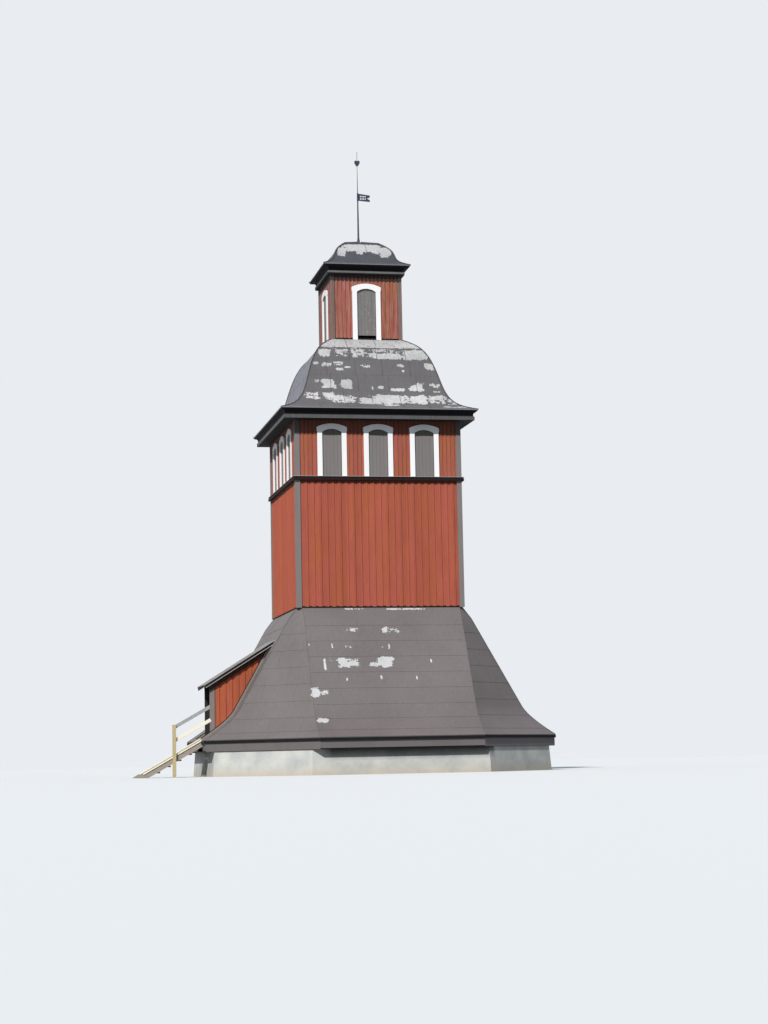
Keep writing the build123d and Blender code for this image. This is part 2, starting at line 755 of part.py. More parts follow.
# Lantern
lantern_spring = lantern_base + LANTERN_SPRING_HEIGHT
lantern_levels = (lantern_base, cap_base)
lantern_walls = {
    turn: stage_wall(turn, LANTERN_HALF, LANTERN_WALL, lantern_levels, (0,), LANTERN_SPRING_HEIGHT)
    for turn in MAIN_TURNS
}
with BuildPart() as lantern_floor:
    with BuildSketch(Plane.XY.offset(lantern_base)):
        Rectangle(2 * lantern_inner, 2 * lantern_inner)
    extrude(amount=FLOOR_THICKNESS)
keep("lantern_floor", lantern_floor.part)
keep("lantern_walls_front_back", lantern_walls[FRONT], lantern_walls[BACK])
keep("lantern_walls_sides", lantern_walls[RIGHT], lantern_walls[LEFT])
keep(
    "lantern_corner_boards",
    *corner_boards(LANTERN_HALF, LANTERN_BOARD_WIDTH, lantern_base, cap_base - CAP_CORNICE_DEPTH),
)
keep("lantern_casings", *(casing(t, LANTERN_HALF, 0, lantern_base, lantern_spring) for t in MAIN_TURNS))
shutter_sill = lantern_base + LANTERN_SHUTTER_LIFT
keep("lantern_shutters", *(shutter(t, LANTERN_HALF, 0, shutter_sill, lantern_spring) for t in MAIN_TURNS))
keep(
    "lantern_cornice",
    cornice(LANTERN_HALF, cap_base, CAP_CORNICE_DEPTH, CAP_STRIP_OUT, CAP_STRIP_HEIGHT, CAP_HEAD_OUT),
)
cap_sides = [bell_side(turn, cap_base, cap_points, CAP_DECK) for turn in MAIN_TURNS]
with BuildPart() as cap_roof:
    for side in cap_sides:
        add(side)
keep("cap_roof", cap_roof.part)

# Forged rod of eight sides with a conical boot and a round journal for the vane
journal_base = crown_level + VANE_RISE
journal_top = journal_base + JOURNAL_HEIGHT
heart_base = crown_level + HEART_RISE
with BuildPart() as spire_rod:
    with BuildSketch(Plane.XZ):
        Polygon(
            (0, crown_level),
            (BOOT_RADIUS, crown_level),
            (ROD_FOOT_RADIUS, crown_level + BOOT_HEIGHT),
            (0, crown_level + BOOT_HEIGHT),
            align=None,
        )
    revolve(axis=Axis.Z)
    with BuildSketch(Plane.XY.offset(crown_level + BOOT_HEIGHT)):
        RegularPolygon(ROD_FOOT_RADIUS, ROD_SIDES)
    with BuildSketch(Plane.XY.offset(journal_base)):
        RegularPolygon(ROD_NECK_RADIUS, ROD_SIDES)
    loft()
    with BuildSketch(Plane.XY.offset(journal_base)):
        Circle(JOURNAL_RADIUS)
    extrude(amount=JOURNAL_HEIGHT)
    with BuildSketch(Plane.XY.offset(journal_top)):
        RegularPolygon(ROD_HEAD_RADIUS, ROD_SIDES)
    with BuildSketch(Plane.XY.offset(heart_base)):
        RegularPolygon(ROD_TIP_RADIUS, ROD_SIDES)
    loft()
keep("spire_rod", spire_rod.part)

with BuildPart() as heart:
    with BuildSketch(Plane.XZ.offset(-HEART_THICKNESS / 2)):
        with BuildLine():
            half = HEART_WIDTH / 2
            lobe = heart_base + HEART_HEIGHT - half / 2
            bend((0, heart_base), (half, heart_base + half), (half, lobe), FLARE_PULL)
            ThreePointArc((half, lobe), (half / 2, lobe + half / 2), (0, lobe))
            ThreePointArc((0, lobe), (-half / 2, lobe + half / 2), (-half, lobe))
            bend((-half, lobe), (-half, heart_base + half), (0, heart_base), FLARE_PULL)
        make_face()
    extrude(amount=HEART_THICKNESS)
    with BuildSketch(Plane.XY.offset(heart_base)):
        Circle(ROD_TIP_RADIUS)
    extrude(amount=HEART_HEIGHT + SPIKE_HEIGHT)
keep("heart_finial", heart.part)

# Vane: a sleeve that turns on the journal and a pierced flag with a swallow tail
sleeve_radius = JOURNAL_RADIUS + SLEEVE_GAP + SLEEVE_WALL
flag_base = journal_base + (JOURNAL_HEIGHT - FLAG_HEIGHT) / 2
flag_top = flag_base + FLAG_HEIGHT
with BuildPart() as vane:
    with BuildSketch(Plane.XY.offset(journal_base + SLEEVE_END_GAP)):
        Circle(sleeve_radius)
        Circle(JOURNAL_RADIUS + SLEEVE_GAP, mode=Mode.SUBTRACT)
    extrude(amount=JOURNAL_HEIGHT - 2 * SLEEVE_END_GAP)
    with BuildSketch(Plane.XZ.offset(-FLAG_THICKNESS / 2)):
        flag_root = sleeve_radius - SLEEVE_WALL / 2
        Polygon(
            (flag_root, flag_base),
            (flag_root, flag_top),
            (FLAG_REACH, flag_top - FLAG_TAPER),
            (FLAG_REACH, flag_top - FLAG_TAPER - FLAG_TAIL),
            (FLAG_REACH - FLAG_NOTCH, (flag_base + flag_top - FLAG_TAPER - FLAG_DROOP) / 2),
            (FLAG_REACH, flag_base - FLAG_DROOP + FLAG_TAIL),
            (FLAG_REACH, flag_base - FLAG_DROOP),
            align=None,
        )
        with Locations((flag_root + (FLAG_REACH - FLAG_NOTCH) / 2, (flag_base + flag_top - FLAG_DROOP) / 2)):
            with GridLocations(*PIERCING_PITCH, *PIERCINGS):
                SlotOverall(PIERCING_LENGTH, PIERCING_WIDTH, rotation=90, mode=Mode.SUBTRACT)
    extrude(amount=FLAG_THICKNESS)
keep("vane", vane.part)

os.makedirs("parts", exist_ok=True)
for piece in pieces:
    export_step(piece, f"parts/{piece.label}.step")
print(len(pieces), "pieces")
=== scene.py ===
import json
import math
import random

import bpy
from mathutils import Matrix, Vector

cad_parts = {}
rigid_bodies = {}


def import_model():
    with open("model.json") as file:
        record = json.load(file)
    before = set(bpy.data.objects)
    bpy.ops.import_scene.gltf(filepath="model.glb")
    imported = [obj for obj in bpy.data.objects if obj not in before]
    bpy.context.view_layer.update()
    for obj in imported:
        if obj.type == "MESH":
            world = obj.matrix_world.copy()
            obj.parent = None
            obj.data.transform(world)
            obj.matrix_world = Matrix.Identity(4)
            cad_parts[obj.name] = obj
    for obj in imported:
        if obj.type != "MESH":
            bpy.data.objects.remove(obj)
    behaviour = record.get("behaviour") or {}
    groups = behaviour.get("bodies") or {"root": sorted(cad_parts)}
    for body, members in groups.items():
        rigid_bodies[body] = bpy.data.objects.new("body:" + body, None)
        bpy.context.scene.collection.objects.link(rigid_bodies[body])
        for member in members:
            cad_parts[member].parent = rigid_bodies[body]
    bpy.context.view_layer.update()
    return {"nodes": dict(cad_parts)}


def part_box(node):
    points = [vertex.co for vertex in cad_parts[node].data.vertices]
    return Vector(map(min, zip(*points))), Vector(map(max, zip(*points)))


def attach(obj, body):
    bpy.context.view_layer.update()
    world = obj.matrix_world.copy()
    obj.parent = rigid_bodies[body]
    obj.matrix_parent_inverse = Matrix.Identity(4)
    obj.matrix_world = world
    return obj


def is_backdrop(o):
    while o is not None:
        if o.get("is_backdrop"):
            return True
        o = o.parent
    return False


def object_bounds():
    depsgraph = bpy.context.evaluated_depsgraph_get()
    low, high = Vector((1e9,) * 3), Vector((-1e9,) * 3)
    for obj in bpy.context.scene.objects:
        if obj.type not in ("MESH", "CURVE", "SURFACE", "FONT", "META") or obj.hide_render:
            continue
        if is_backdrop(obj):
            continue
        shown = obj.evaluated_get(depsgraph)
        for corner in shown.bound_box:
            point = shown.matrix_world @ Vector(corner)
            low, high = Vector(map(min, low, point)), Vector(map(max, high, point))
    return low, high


# Looks of a wooden bell tower. Metres, +Z up, the front faces -Y and the stair is on -X.
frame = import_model()

# Sizes read from the frame
FRONT_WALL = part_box("shaft_front_wall")
LANTERN_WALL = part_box("lantern_walls_front_back")
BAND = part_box("drip_band")
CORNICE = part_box("belfry_cornice")
CAP_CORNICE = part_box("lantern_cornice")
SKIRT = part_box("skirt_front_slope")
CORNER_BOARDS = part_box("corner_boards")
COVER_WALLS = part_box("stair_cover_walls")
COVER_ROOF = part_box("stair_cover_roof")
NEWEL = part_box("stair_newel")
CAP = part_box("cap_roof")

SHAFT_HALF = -FRONT_WALL[0].y
LANTERN_HALF = -LANTERN_WALL[0].y
SHAFT_BASE = FRONT_WALL[0].z
BAND_BASE = BAND[0].z
BAND_DEPTH = -BAND[0].y - SHAFT_HALF
BELFRY_BASE = BAND[1].z
BELL_BASE = CORNICE[1].z
LANTERN_BASE = LANTERN_WALL[0].z
CAP_BASE = CAP_CORNICE[1].z
SOFFIT = CORNICE[0].z
CAP_SOFFIT = CAP_CORNICE[0].z
HIP_SIDE = SKIRT[1].x
EAVE_REACH = -SKIRT[0].y
SKIRT_BASE = SKIRT[0].z
FASCIA_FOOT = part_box("skirt_eave_boards")[0].z
PLINTH_REACH = -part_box("plinth_sides")[0].y
BELL_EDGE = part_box("bell_roof_front_back")[1].y
CAP_EDGE = CAP[1].y
CROWN = CAP[1].z

# Curves of the roofs, as reach and level, the same as the frame's
ROOF_EDGE = 0.027
SKIRT_EAVE = SKIRT_BASE + 0.09
SKIRT_KNEE = (4.6, SKIRT_EAVE + 0.96)
SKIRT_TURN = (4.8, SKIRT_KNEE[1] - 0.37)
SKIRT_SHOULDER = (3.0, SHAFT_BASE - 0.38)
SKIRT_HEAD = (2.7, SHAFT_BASE)
FLARE_PULL = 0.7
BELL_PULL = 0.83
BELL_HEAD = (LANTERN_HALF + 0.025, LANTERN_BASE)
BELL_TURN = (1.881, BELL_BASE + 2.32)
BELL_SWAY = (2.21, BELL_BASE + 1.165)
BELL_FOOT_TURN = (2.456, BELL_BASE + 0.285)
BELL_EAVE = (BELL_EDGE, BELL_BASE + ROOF_EDGE)
CAP_HEAD = (0.07, CROWN)
CAP_SHOULDER = (0.57, CAP_BASE + 0.957)
CAP_TURN = (0.948, CAP_BASE + 0.68)
CAP_SWAY = (1.03, CAP_BASE + 0.405)
CAP_FOOT_TURN = (1.09, CAP_BASE + 0.205)
CAP_EAVE = (CAP_EDGE, CAP_BASE + ROOF_EDGE)
CAP_STEPS = 8

# Turns of the tower's four sides and their names
CORNER = math.sqrt(2)
CORNER_TURN = 45
FRONT_TURNS = (0, 90, 180, 270)
LEFT_TURN = FRONT_TURNS[3]
SIDE_NAMES = ("front", "right", "back", "left")
CORNER_NAMES = ("right_front", "right_back", "left_back", "left_front")

# Covered stair: its near and far face, its slopes and the edges of its cover
STAIR_Y = (-1.7, -0.3)
STAIR_MIDDLE = sum(STAIR_Y) / 2
STAIR_HEAD = 3.34
STAIR_SLOPE = 2.45 / 13 / 0.338
STAIR_TOP = 2.51
COVER_MOUTH = -COVER_WALLS[0].x
COVER_SLOPE = 0.62
COVER_HEADROOM = 1.63
COVER_TIP = -COVER_ROOF[0].x
COVER_HEAD = -COVER_ROOF[1].x
COVER_DEPTH = 0.07
BARGE_DEPTH = 0.125
MOUTH_LEVEL = STAIR_TOP - STAIR_SLOPE * (COVER_MOUTH - STAIR_HEAD) + COVER_HEADROOM
COVER_LINE = MOUTH_LEVEL + COVER_SLOPE * COVER_MOUTH

# Boards, flashing and rails of the stair
STAIR_BOARD_PITCH = 0.21
STAIR_BOARD_HALF = 0.07
MOUTH_CLEAR = 0.16
HEAD_CLEAR = 0.12
FALL_STEP = 0.06
COVER_LAP = 0.012
BARGE_HALF = 0.01
FOOT_FLASHING = 0.07
STRINGER = 0.05
FACE_BOARD = 0.045
FACE_FOOT = 7.6
MIDDLE_RAIL = 0.53
RAIL_DEPTH = 0.125
RAIL_FACE = (0.034, 0.022)

# Courses of the roofs' sheet: their first ends, pitches, lift and thickness
COURSE = 0.583
SKIRT_FIRST = 0.747
CORNER_SHIFT = 0.2
BELL_COURSE = 0.6
BELL_FIRST = 0.55
CAP_FIRST = 0.6
COVER_FIRST = 0.55
SHEET_SEAT = 0.004
SHEET_LIFT = 0.006
FLAT_LIFT = 0.002
SHEET = 0.003

# Upright joints of the sheet: their pitch, size, stagger and seeds
SKIRT_SEAMS = 1.2
BELL_SEAMS = 0.95
CAP_SEAMS = 0.9
SEAM_HALF = 0.007
SEAM_RISE = 0.003
SEAM_START = 0.35
SEAM_STAGGER = 0.5
SEAM_STRAY = 0.12
SEAM_SPREAD = (0.92, 1.08)
SEAM_CLEAR = 0.1
SEAM_HEAD = 0.004
SEAM_FOOT = 0.002
BELL_SEED, CAP_SEED, SKIRT_SEED, CORNER_SEED = 20, 30, 40, 50

# Strips, beads and lapped edges of the roofs, and the eave's dark boards as depth and height
CORNICE_LEDGE = 0.415
CAP_LEDGE = 0.12
STRIP_DEPTH = 0.012
EDGE_LAP = 0.02
BEAD_LIFT = 0.012
SKIRT_BEAD_LIFT = 0.013
SKIRT_BEAD = 0.009
HIP_SHIFT = 0.005
EAVE_BOARD = (0.012, 0.078)
# The foot board is the dark strip at the fascia's foot, painted shadow of the gap under it
FOOT_BOARD = (0.006, 0.03)
FOOT_LAP = 0.02
EAVE_JOIN = 0.005
FASCIA_SETBACK = 0.035
SEAT = 0.004

# Cover boards and corner boards
BOARD_PITCH = 0.22
BOARD_WIDTH = 0.13
BOARD_DEPTH = 0.021
BOARD_STRAY = 0.006
BOARD_UNEVEN = 0.002
UPPER_PITCH = 0.135
UPPER_WIDTH = 0.085
BOARD_GAP = 0.026
FOOT_GAP = 0.05
CORNER_DEPTH = CORNER_BOARDS[1].x - SHAFT_HALF
CORNER_WIDTH = 0.165
FACE_SKIN = 0.01
UPPER_CORNER_WIDTH = 0.13

# Hatches with their casings and shutters
HATCHES = (-1.53, 0.0, 1.53)
HATCH_HALF = 0.32
HATCH_RISE = 0.104
BELFRY_SPRING = BELFRY_BASE + 1.451
BELFRY_SILL = BELFRY_BASE + 0.012
LANTERN_SPRING = LANTERN_BASE + 1.64
LANTERN_SILL = LANTERN_BASE + 0.155
CASING_HALF = 0.48
CASING_LAP = 0.01
EAR_HALF = 0.496
EAR_TOP = 0.16
CROWN_RISE = 0.277
HEAD_LAP = 0.002
SHUTTER_RECESS = 0.02
SHUTTER_BOARDS = 5
SHUTTER_BOARD = 0.014
SHUTTER_GAP = 0.014
BOARD_JOINT = 0.0015

# Angles in degrees over which an edge is shown sharp
BOARD_FOLD = 30
SHEET_FOLD = 20
ROUND_FOLD = 60

# Settings of a Mix node for colours, whose share is input 0 and whose colours are inputs 6 and 7
LAID = {"data_type": "RGBA"}
MULTIPLIED = {"data_type": "RGBA", "blend_type": "MULTIPLY"}


def linear(code):
    """Turns an sRGB hex value to the linear colour that a shader takes."""
    shares = [int(code[i:i + 2], 16) / 255 for i in (1, 3, 5)]
    return tuple(s / 12.92 if s <= 0.04045 else ((s + 0.055) / 1.055) ** 2.4 for s in shares) + (1.0,)


def add(tree, kind, inputs, **settings):
    """Adds a node with its settings, fills its inputs and joins those given a node or a socket.

    A MapRange takes its value at input 0, the range of it at 1 and 2 and the results at 3 and 4."""
    node = tree.nodes.new("ShaderNode" + kind)
    for name, value in settings.items():
        setattr(node, name, value)
    for key, value in inputs.items():
        if isinstance(value, bpy.types.Node):
            value = value.outputs[0]
        if isinstance(value, bpy.types.NodeSocket):
            tree.links.new(value, node.inputs[key])
        else:
            node.inputs[key].default_value = value
    return node


def new_material(name, slot, roughness, metallic=0.0, shine=0.5):
    """Empty material for a slot, with its tree, its shader and the object coordinates."""
    material = bpy.data.materials.new(name)
    material["slot"] = slot
    material.use_nodes = True
    tree = material.node_tree
    shader = tree.nodes["Principled BSDF"]
    shader.inputs["Roughness"].default_value = roughness
    shader.inputs["Metallic"].default_value = metallic
    shader.inputs["Specular IOR Level"].default_value = shine
    place = add(tree, "TexCoord", {}).outputs["Object"]
    return material, tree, shader, place


def drawn_pattern(tree, place, scale, detail, roughness=0.5):
    """Noise that is drawn out: it has its own scale along each axis, in repeats to the metre."""
    drawn = add(tree, "Mapping", {"Vector": place, "Scale": scale})
    return add(tree, "TexNoise", {"Vector": drawn, "Scale": 1.0, "Detail": detail, "Roughness": roughness})


def on_side(tree, outward, across, elsewhere=0.0):
    """One on the tower's side that faces down an axis, and a share of that on the other sides."""
    beside = add(tree, "Math", {0: across}, operation="ABSOLUTE")
    past = add(tree, "Math", {0: outward, 1: beside}, operation="ADD")
    return add(tree, "MapRange", {0: past, 1: 0.0, 2: -0.04, 3: elsewhere, 4: 1.0})


def looked_at(tree):
    """One for what the camera sees, straight or in a reflection, and nothing for scattered light."""
    rays = add(tree, "LightPath", {}).outputs
    return add(tree, "Math", {0: rays["Is Camera Ray"], 1: rays["Is Glossy Ray"]}, operation="MAXIMUM")


def end_material(tree, shader, colour, relief, strength, depth):
    """Gives the shader its colour, and a bump of a real depth."""
    tree.links.new(colour, shader.inputs["Base Color"])
    bump = add(tree, "Bump", {"Height": relief, "Strength": strength, "Distance": depth})
    tree.links.new(bump.outputs[0], shader.inputs["Normal"])


def open_mesh(name):
    """Starts a piece: an empty mesh that is open in edit mode."""
    bpy.ops.object.select_all(action="DESELECT")
    bpy.ops.object.add(type="MESH", enter_editmode=True, location=(0, 0, 0))
    piece = bpy.context.object
    piece.name = name
    piece.data.name = name


def block(low, high):
    """Adds a block between two corners to the open mesh and leaves it selected."""
    middle = [(a + b) / 2 for a, b in zip(low, high)]
    size = [b - a for a, b in zip(low, high)]
    bpy.ops.mesh.primitive_cube_add(size=1, location=middle, scale=size)


def cut(point, normal):
    """Cuts what is selected in the open mesh and drops the side that the normal points to."""
    bpy.ops.mesh.select_linked()
    bpy.ops.mesh.bisect(plane_co=point, plane_no=normal, use_fill=True, clear_outer=True)


def draw_out(move):
    """Extrudes what is selected in the open mesh."""
    bpy.ops.mesh.extrude_region_move(TRANSFORM_OT_translate={"value": move})


def apply_modifier(piece, kind, **settings):
    """Adds a modifier to a piece and applies it."""
    modifier = piece.modifiers.new(kind.title(), kind)
    for name, value in settings.items():
        setattr(modifier, name, value)
    bpy.ops.object.modifier_apply(modifier=modifier.name)


def close_mesh(material, bevel=0.0, thickness=0.0, turn=0, smooth=BOARD_FOLD, body="tower"):
    """Ends the open piece: thickness, bevel, normals, turn about the axis, material and body."""
    piece = bpy.context.object
    bpy.ops.object.mode_set(mode="OBJECT")
    if thickness:
        apply_modifier(piece, "SOLIDIFY", thickness=thickness, offset=0)
    if bevel:
        apply_modifier(piece, "BEVEL", width=bevel, segments=1, limit_method="ANGLE")
    bpy.ops.object.mode_set(mode="EDIT")
    bpy.ops.mesh.select_all(action="SELECT")
    bpy.ops.mesh.normals_make_consistent(inside=False)
    bpy.ops.object.mode_set(mode="OBJECT")
    if turn:
        piece.rotation_euler.z = math.radians(turn)
        bpy.ops.object.transform_apply(location=False, rotation=True, scale=False)
    bpy.ops.object.shade_smooth_by_angle(angle=math.radians(smooth))
    piece.data.materials.append(material)
    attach(piece, body)


def strip(rows):
    """Adds a sheet to the open mesh. A row is its reach to the front, level, half width and middle."""
    reach, level, half, middle = rows[0]
    bpy.ops.mesh.primitive_plane_add(size=half, location=(middle - half, -reach, level))
    bpy.ops.mesh.merge(type="CENTER")
    draw_out((2 * half, 0, 0))
    bpy.ops.mesh.select_linked()
    for to_reach, to_level, to_half, middle in rows[1:]:
        draw_out((0, reach - to_reach, to_level - level))
        if abs(to_half - half) > 1e-6:
            centre = (middle, -to_reach, to_level)
            bpy.ops.transform.resize(value=(to_half / half, 1, 1), center_override=centre)
        reach, level, half = to_reach, to_level, to_half


def bend(start, turn, end, pull, steps=12):
    """Points of a curve that leaves start and meets end along lines through the turning point."""
    points = []
    for step in range(steps + 1):
        gone = step / steps
        left = 1 - gone
        at_start = left**3 + 3 * left**2 * gone * (1 - pull)
        at_end = gone**3 + 3 * gone**2 * left * (1 - pull)
        at_turn = 1 - at_start - at_end
        ends = zip(start, turn, end)
        points.append(tuple(at_start * s + at_turn * t + at_end * e for s, t, e in ends))
    return points


class Profile:
    """Curve of a roof from its head to its eave, measured by the way gone along it."""

    def __init__(self, points):
        self.points = points
        self.marks = [0.0]
        for first, second in zip(points, points[1:]):
            self.marks.append(self.marks[-1] + math.dist(first, second))
        self.length = self.marks[-1]

    def at(self, way, lift=0.0):
        """Point at a way from the head, lifted off the curve."""
        way = min(max(way, 0.0), self.length)
        span = next(i for i, mark in enumerate(self.marks[1:]) if way <= mark + 1e-9)
        first, second = self.points[span], self.points[span + 1]
        size = self.marks[span + 1] - self.marks[span]
        share = (way - self.marks[span]) / size
        along = ((second[0] - first[0]) / size, (second[1] - first[1]) / size)
        reach = first[0] + share * (second[0] - first[0]) - along[1] * lift
        level = first[1] + share * (second[1] - first[1]) + along[0] * lift
        return reach, level

    def level_way(self, level):
        """Way gone when the curve has come down to a level."""
        for i, (first, second) in enumerate(zip(self.points, self.points[1:])):
            if second[1] <= level <= first[1]:
                share = (first[1] - level) / (first[1] - second[1])
                return self.marks[i] + share * (self.marks[i + 1] - self.marks[i])
        return 0.0

    def ways(self, start, end, apart=0.01):
        """Ways between two places, with the curve's own points between them."""
        return [start] + [m for m in self.marks if start + apart < m < end - apart] + [end]


def course_ways(profile, first, pitch, shortest=0.15):
    """Ways at which the courses of sheet end, from the head down."""
    ways = [0.0]
    way = first
    while way < profile.length - shortest:
        ways.append(way)
        way += pitch
    return ways + [profile.length]


def course_rows(profile, ways, half_width, middle=0.0, lifted=SHEET_LIFT):
    """Rows of a roof's sheet: each course lifts a little down to its edge and steps in there."""
    rows = []
    for start, end in zip(ways, ways[1:]):
        for way in profile.ways(start, end):
            lift = SHEET_SEAT + lifted * (way - start) / (end - start)
            reach, level = profile.at(way, lift)
            rows.append((reach, level, half_width(reach), middle))
    return rows


def upright_seams(profile, ways, half_width, spacing, seed):
    """Raised joints between the sheets of each course, staggered from course to course."""
    chance = random.Random(seed)
    for count, (start, end) in enumerate(zip(ways, ways[1:])):
        half_here = half_width(profile.at(start)[0])
        shift = SEAM_START + SEAM_STAGGER * (count % 2)
        middle = -half_here + spacing * shift + chance.uniform(-SEAM_STRAY, SEAM_STRAY)
        while middle < half_here - SEAM_CLEAR:
            rows = []
            for way in profile.ways(start + SEAM_HEAD, end - SEAM_FOOT):
                lift = SHEET_SEAT + SHEET_LIFT * (way - start) / (end - start) + SEAM_RISE
                reach, level = profile.at(way, lift)
                rows.append((reach, level, SEAM_HALF, middle))
            strip(rows)
            middle += spacing * chance.uniform(*SEAM_SPREAD)


def path_tube(name, points, radius, material, turn):
    """Round bead along a line of points."""
    open_mesh(name)
    bpy.ops.mesh.primitive_plane_add(size=0.01, location=points[0])
    bpy.ops.mesh.merge(type="CENTER")
    for first, second in zip(points, points[1:]):
        draw_out(Vector(second) - Vector(first))
    bpy.ops.object.mode_set(mode="OBJECT")
    bpy.ops.object.convert(target="CURVE")
    line = bpy.context.object.data
    line.bevel_depth = radius
    line.bevel_resolution = 1
    line.use_fill_caps = True
    bpy.ops.object.convert(target="MESH")
    bpy.ops.object.mode_set(mode="EDIT")
    close_mesh(material, turn=turn, smooth=ROUND_FOLD)


def roof_sheets(name, curve, first, pitch, half_width, material, turn, spacing, seed, joint=None,
                lifted=SHEET_LIFT):
    """Sheets of one slope, in courses, and the upright joints between them."""
    ways = course_ways(curve, first, pitch)
    open_mesh(name)
    strip(course_rows(curve, ways, half_width, lifted=lifted))
    close_mesh(material, thickness=SHEET, turn=turn, smooth=SHEET_FOLD)
    open_mesh(name.replace("sheets", "joints"))
    upright_seams(curve, ways, half_width, spacing, seed)
    close_mesh(joint or material, thickness=SHEET, turn=turn, smooth=SHEET_FOLD)


def turn_selected(turn):
    """Turns the selected part of the open mesh about the tower's axis."""
    bpy.ops.mesh.select_linked()
    bpy.ops.transform.rotate(value=-math.radians(turn), orient_axis="Z", center_override=(0, 0, 0))


def sloped_block(reaches, line, across, heights):
    """Adds a board along a straight line of the left side, with its heights square to that line."""
    first, second = (Vector((-reach, line(reach))) for reach in reaches)
    run = second - first
    rise = Vector((-run.y, run.x)).normalized() * (1 if run.x > 0 else -1)
    middle = (first + second) / 2 + rise * sum(heights) / 2
    bpy.ops.mesh.primitive_cube_add(
        size=1,
        location=(middle.x, sum(across) / 2, middle.y),
        rotation=(0, -math.atan(run.y / run.x), 0),
        scale=(run.length, across[1] - across[0], heights[1] - heights[0]),
    )


def head_level(offset, spring):
    """Level of the top of a casing's head at an offset from its middle."""
    return spring + CROWN_RISE - (CROWN_RISE - EAR_TOP) * min(abs(offset) / EAR_HALF, 1) ** 2


def wall_boards(name, half, levels, pitch, width, edge, material, hatches=(), spring=0.0, seed=0):
    """Cover boards of a square stage, on all four sides. Over a hatch they start on its casing's head."""
    chance = random.Random(seed)
    count = int(2 * edge / pitch)
    for side, turn in zip(SIDE_NAMES, FRONT_TURNS):
        open_mesh(f"{name}_{side}")
        for number in range(count):
            middle = (number + 0.5 - count / 2) * pitch
            bottom = levels[0] + chance.uniform(-BOARD_STRAY, BOARD_STRAY)
            for hatch in hatches:
                if abs(middle - hatch) < CASING_HALF + width / 2 - CASING_LAP:
                    nearest = max(abs(middle - hatch) - width / 2, 0)
                    bottom = head_level(nearest, spring) - HEAD_LAP
            depth = BOARD_DEPTH + chance.uniform(-BOARD_UNEVEN, BOARD_UNEVEN)
            block((middle - width / 2, -half - depth, bottom), (middle + width / 2, -half, levels[1]))
        close_mesh(material, bevel=0.004, turn=turn)


def ring_boards(name, reach, depth, levels, material, bevel=0.003):
    """Four boards round a square stage, mitred at the corners."""
    outer = reach + depth
    open_mesh(name)
    for turn in FRONT_TURNS:
        block((-outer, -outer, levels[0]), (outer, -reach, levels[1]))
        cut((0, 0, 0), (1, 1, 0))
        cut((0, 0, 0), (-1, 1, 0))
        turn_selected(turn)
    close_mesh(material, bevel=bevel)


def hatch_boards(name, half, sill, spring, middles, material):
    """Upright boards on the face of the shutters, trimmed to the arch, on all four sides."""
    face = half - SHUTTER_RECESS
    radius = (HATCH_HALF**2 + HATCH_RISE**2) / (2 * HATCH_RISE)
    centre = spring + HATCH_RISE - radius
    leaf = HATCH_HALF - SHUTTER_GAP
    pitch = 2 * leaf / SHUTTER_BOARDS
    open_mesh(name)
    for turn in FRONT_TURNS:
        for hatch in middles:
            for number in range(SHUTTER_BOARDS):
                offset = -leaf + (number + 0.5) * pitch
                low = (hatch + offset - pitch / 2 + BOARD_JOINT, -face - SHUTTER_BOARD, sill)
                high = (hatch + offset + pitch / 2 - BOARD_JOINT, -face, spring + HATCH_RISE)
                block(low, high)
                level = centre + math.sqrt((radius - SHUTTER_GAP) ** 2 - offset**2)
                cut((hatch + offset, -face, level), (offset, 0, level - centre))
                turn_selected(turn)
    close_mesh(material, bevel=0.002)


def stringer_top(reach):
    """Level of the stringers' upper edge."""
    return STAIR_TOP - STAIR_SLOPE * (reach - STAIR_HEAD)


def cover_under(reach):
    """Level of the underside of the stair cover's roof."""
    return COVER_LINE - COVER_SLOPE * reach


def cover_top(reach):
    """Level of the top of the stair cover's roof."""
    return cover_under(reach) + COVER_DEPTH


def skirt_level(reach):
    """Level of the skirt's slope at a reach."""
    for first, second in zip(skirt_curve.points, skirt_curve.points[1:]):
        if first[0] <= reach <= second[0]:
            return first[1] + (second[1] - first[1]) * (reach - first[0]) / (second[0] - first[0])
    return SKIRT_BASE


def dress(material, *nodes):
    """Gives CAD nodes a material."""
    for node in nodes:
        for holder in frame["nodes"][node].material_slots:
            holder.material = material


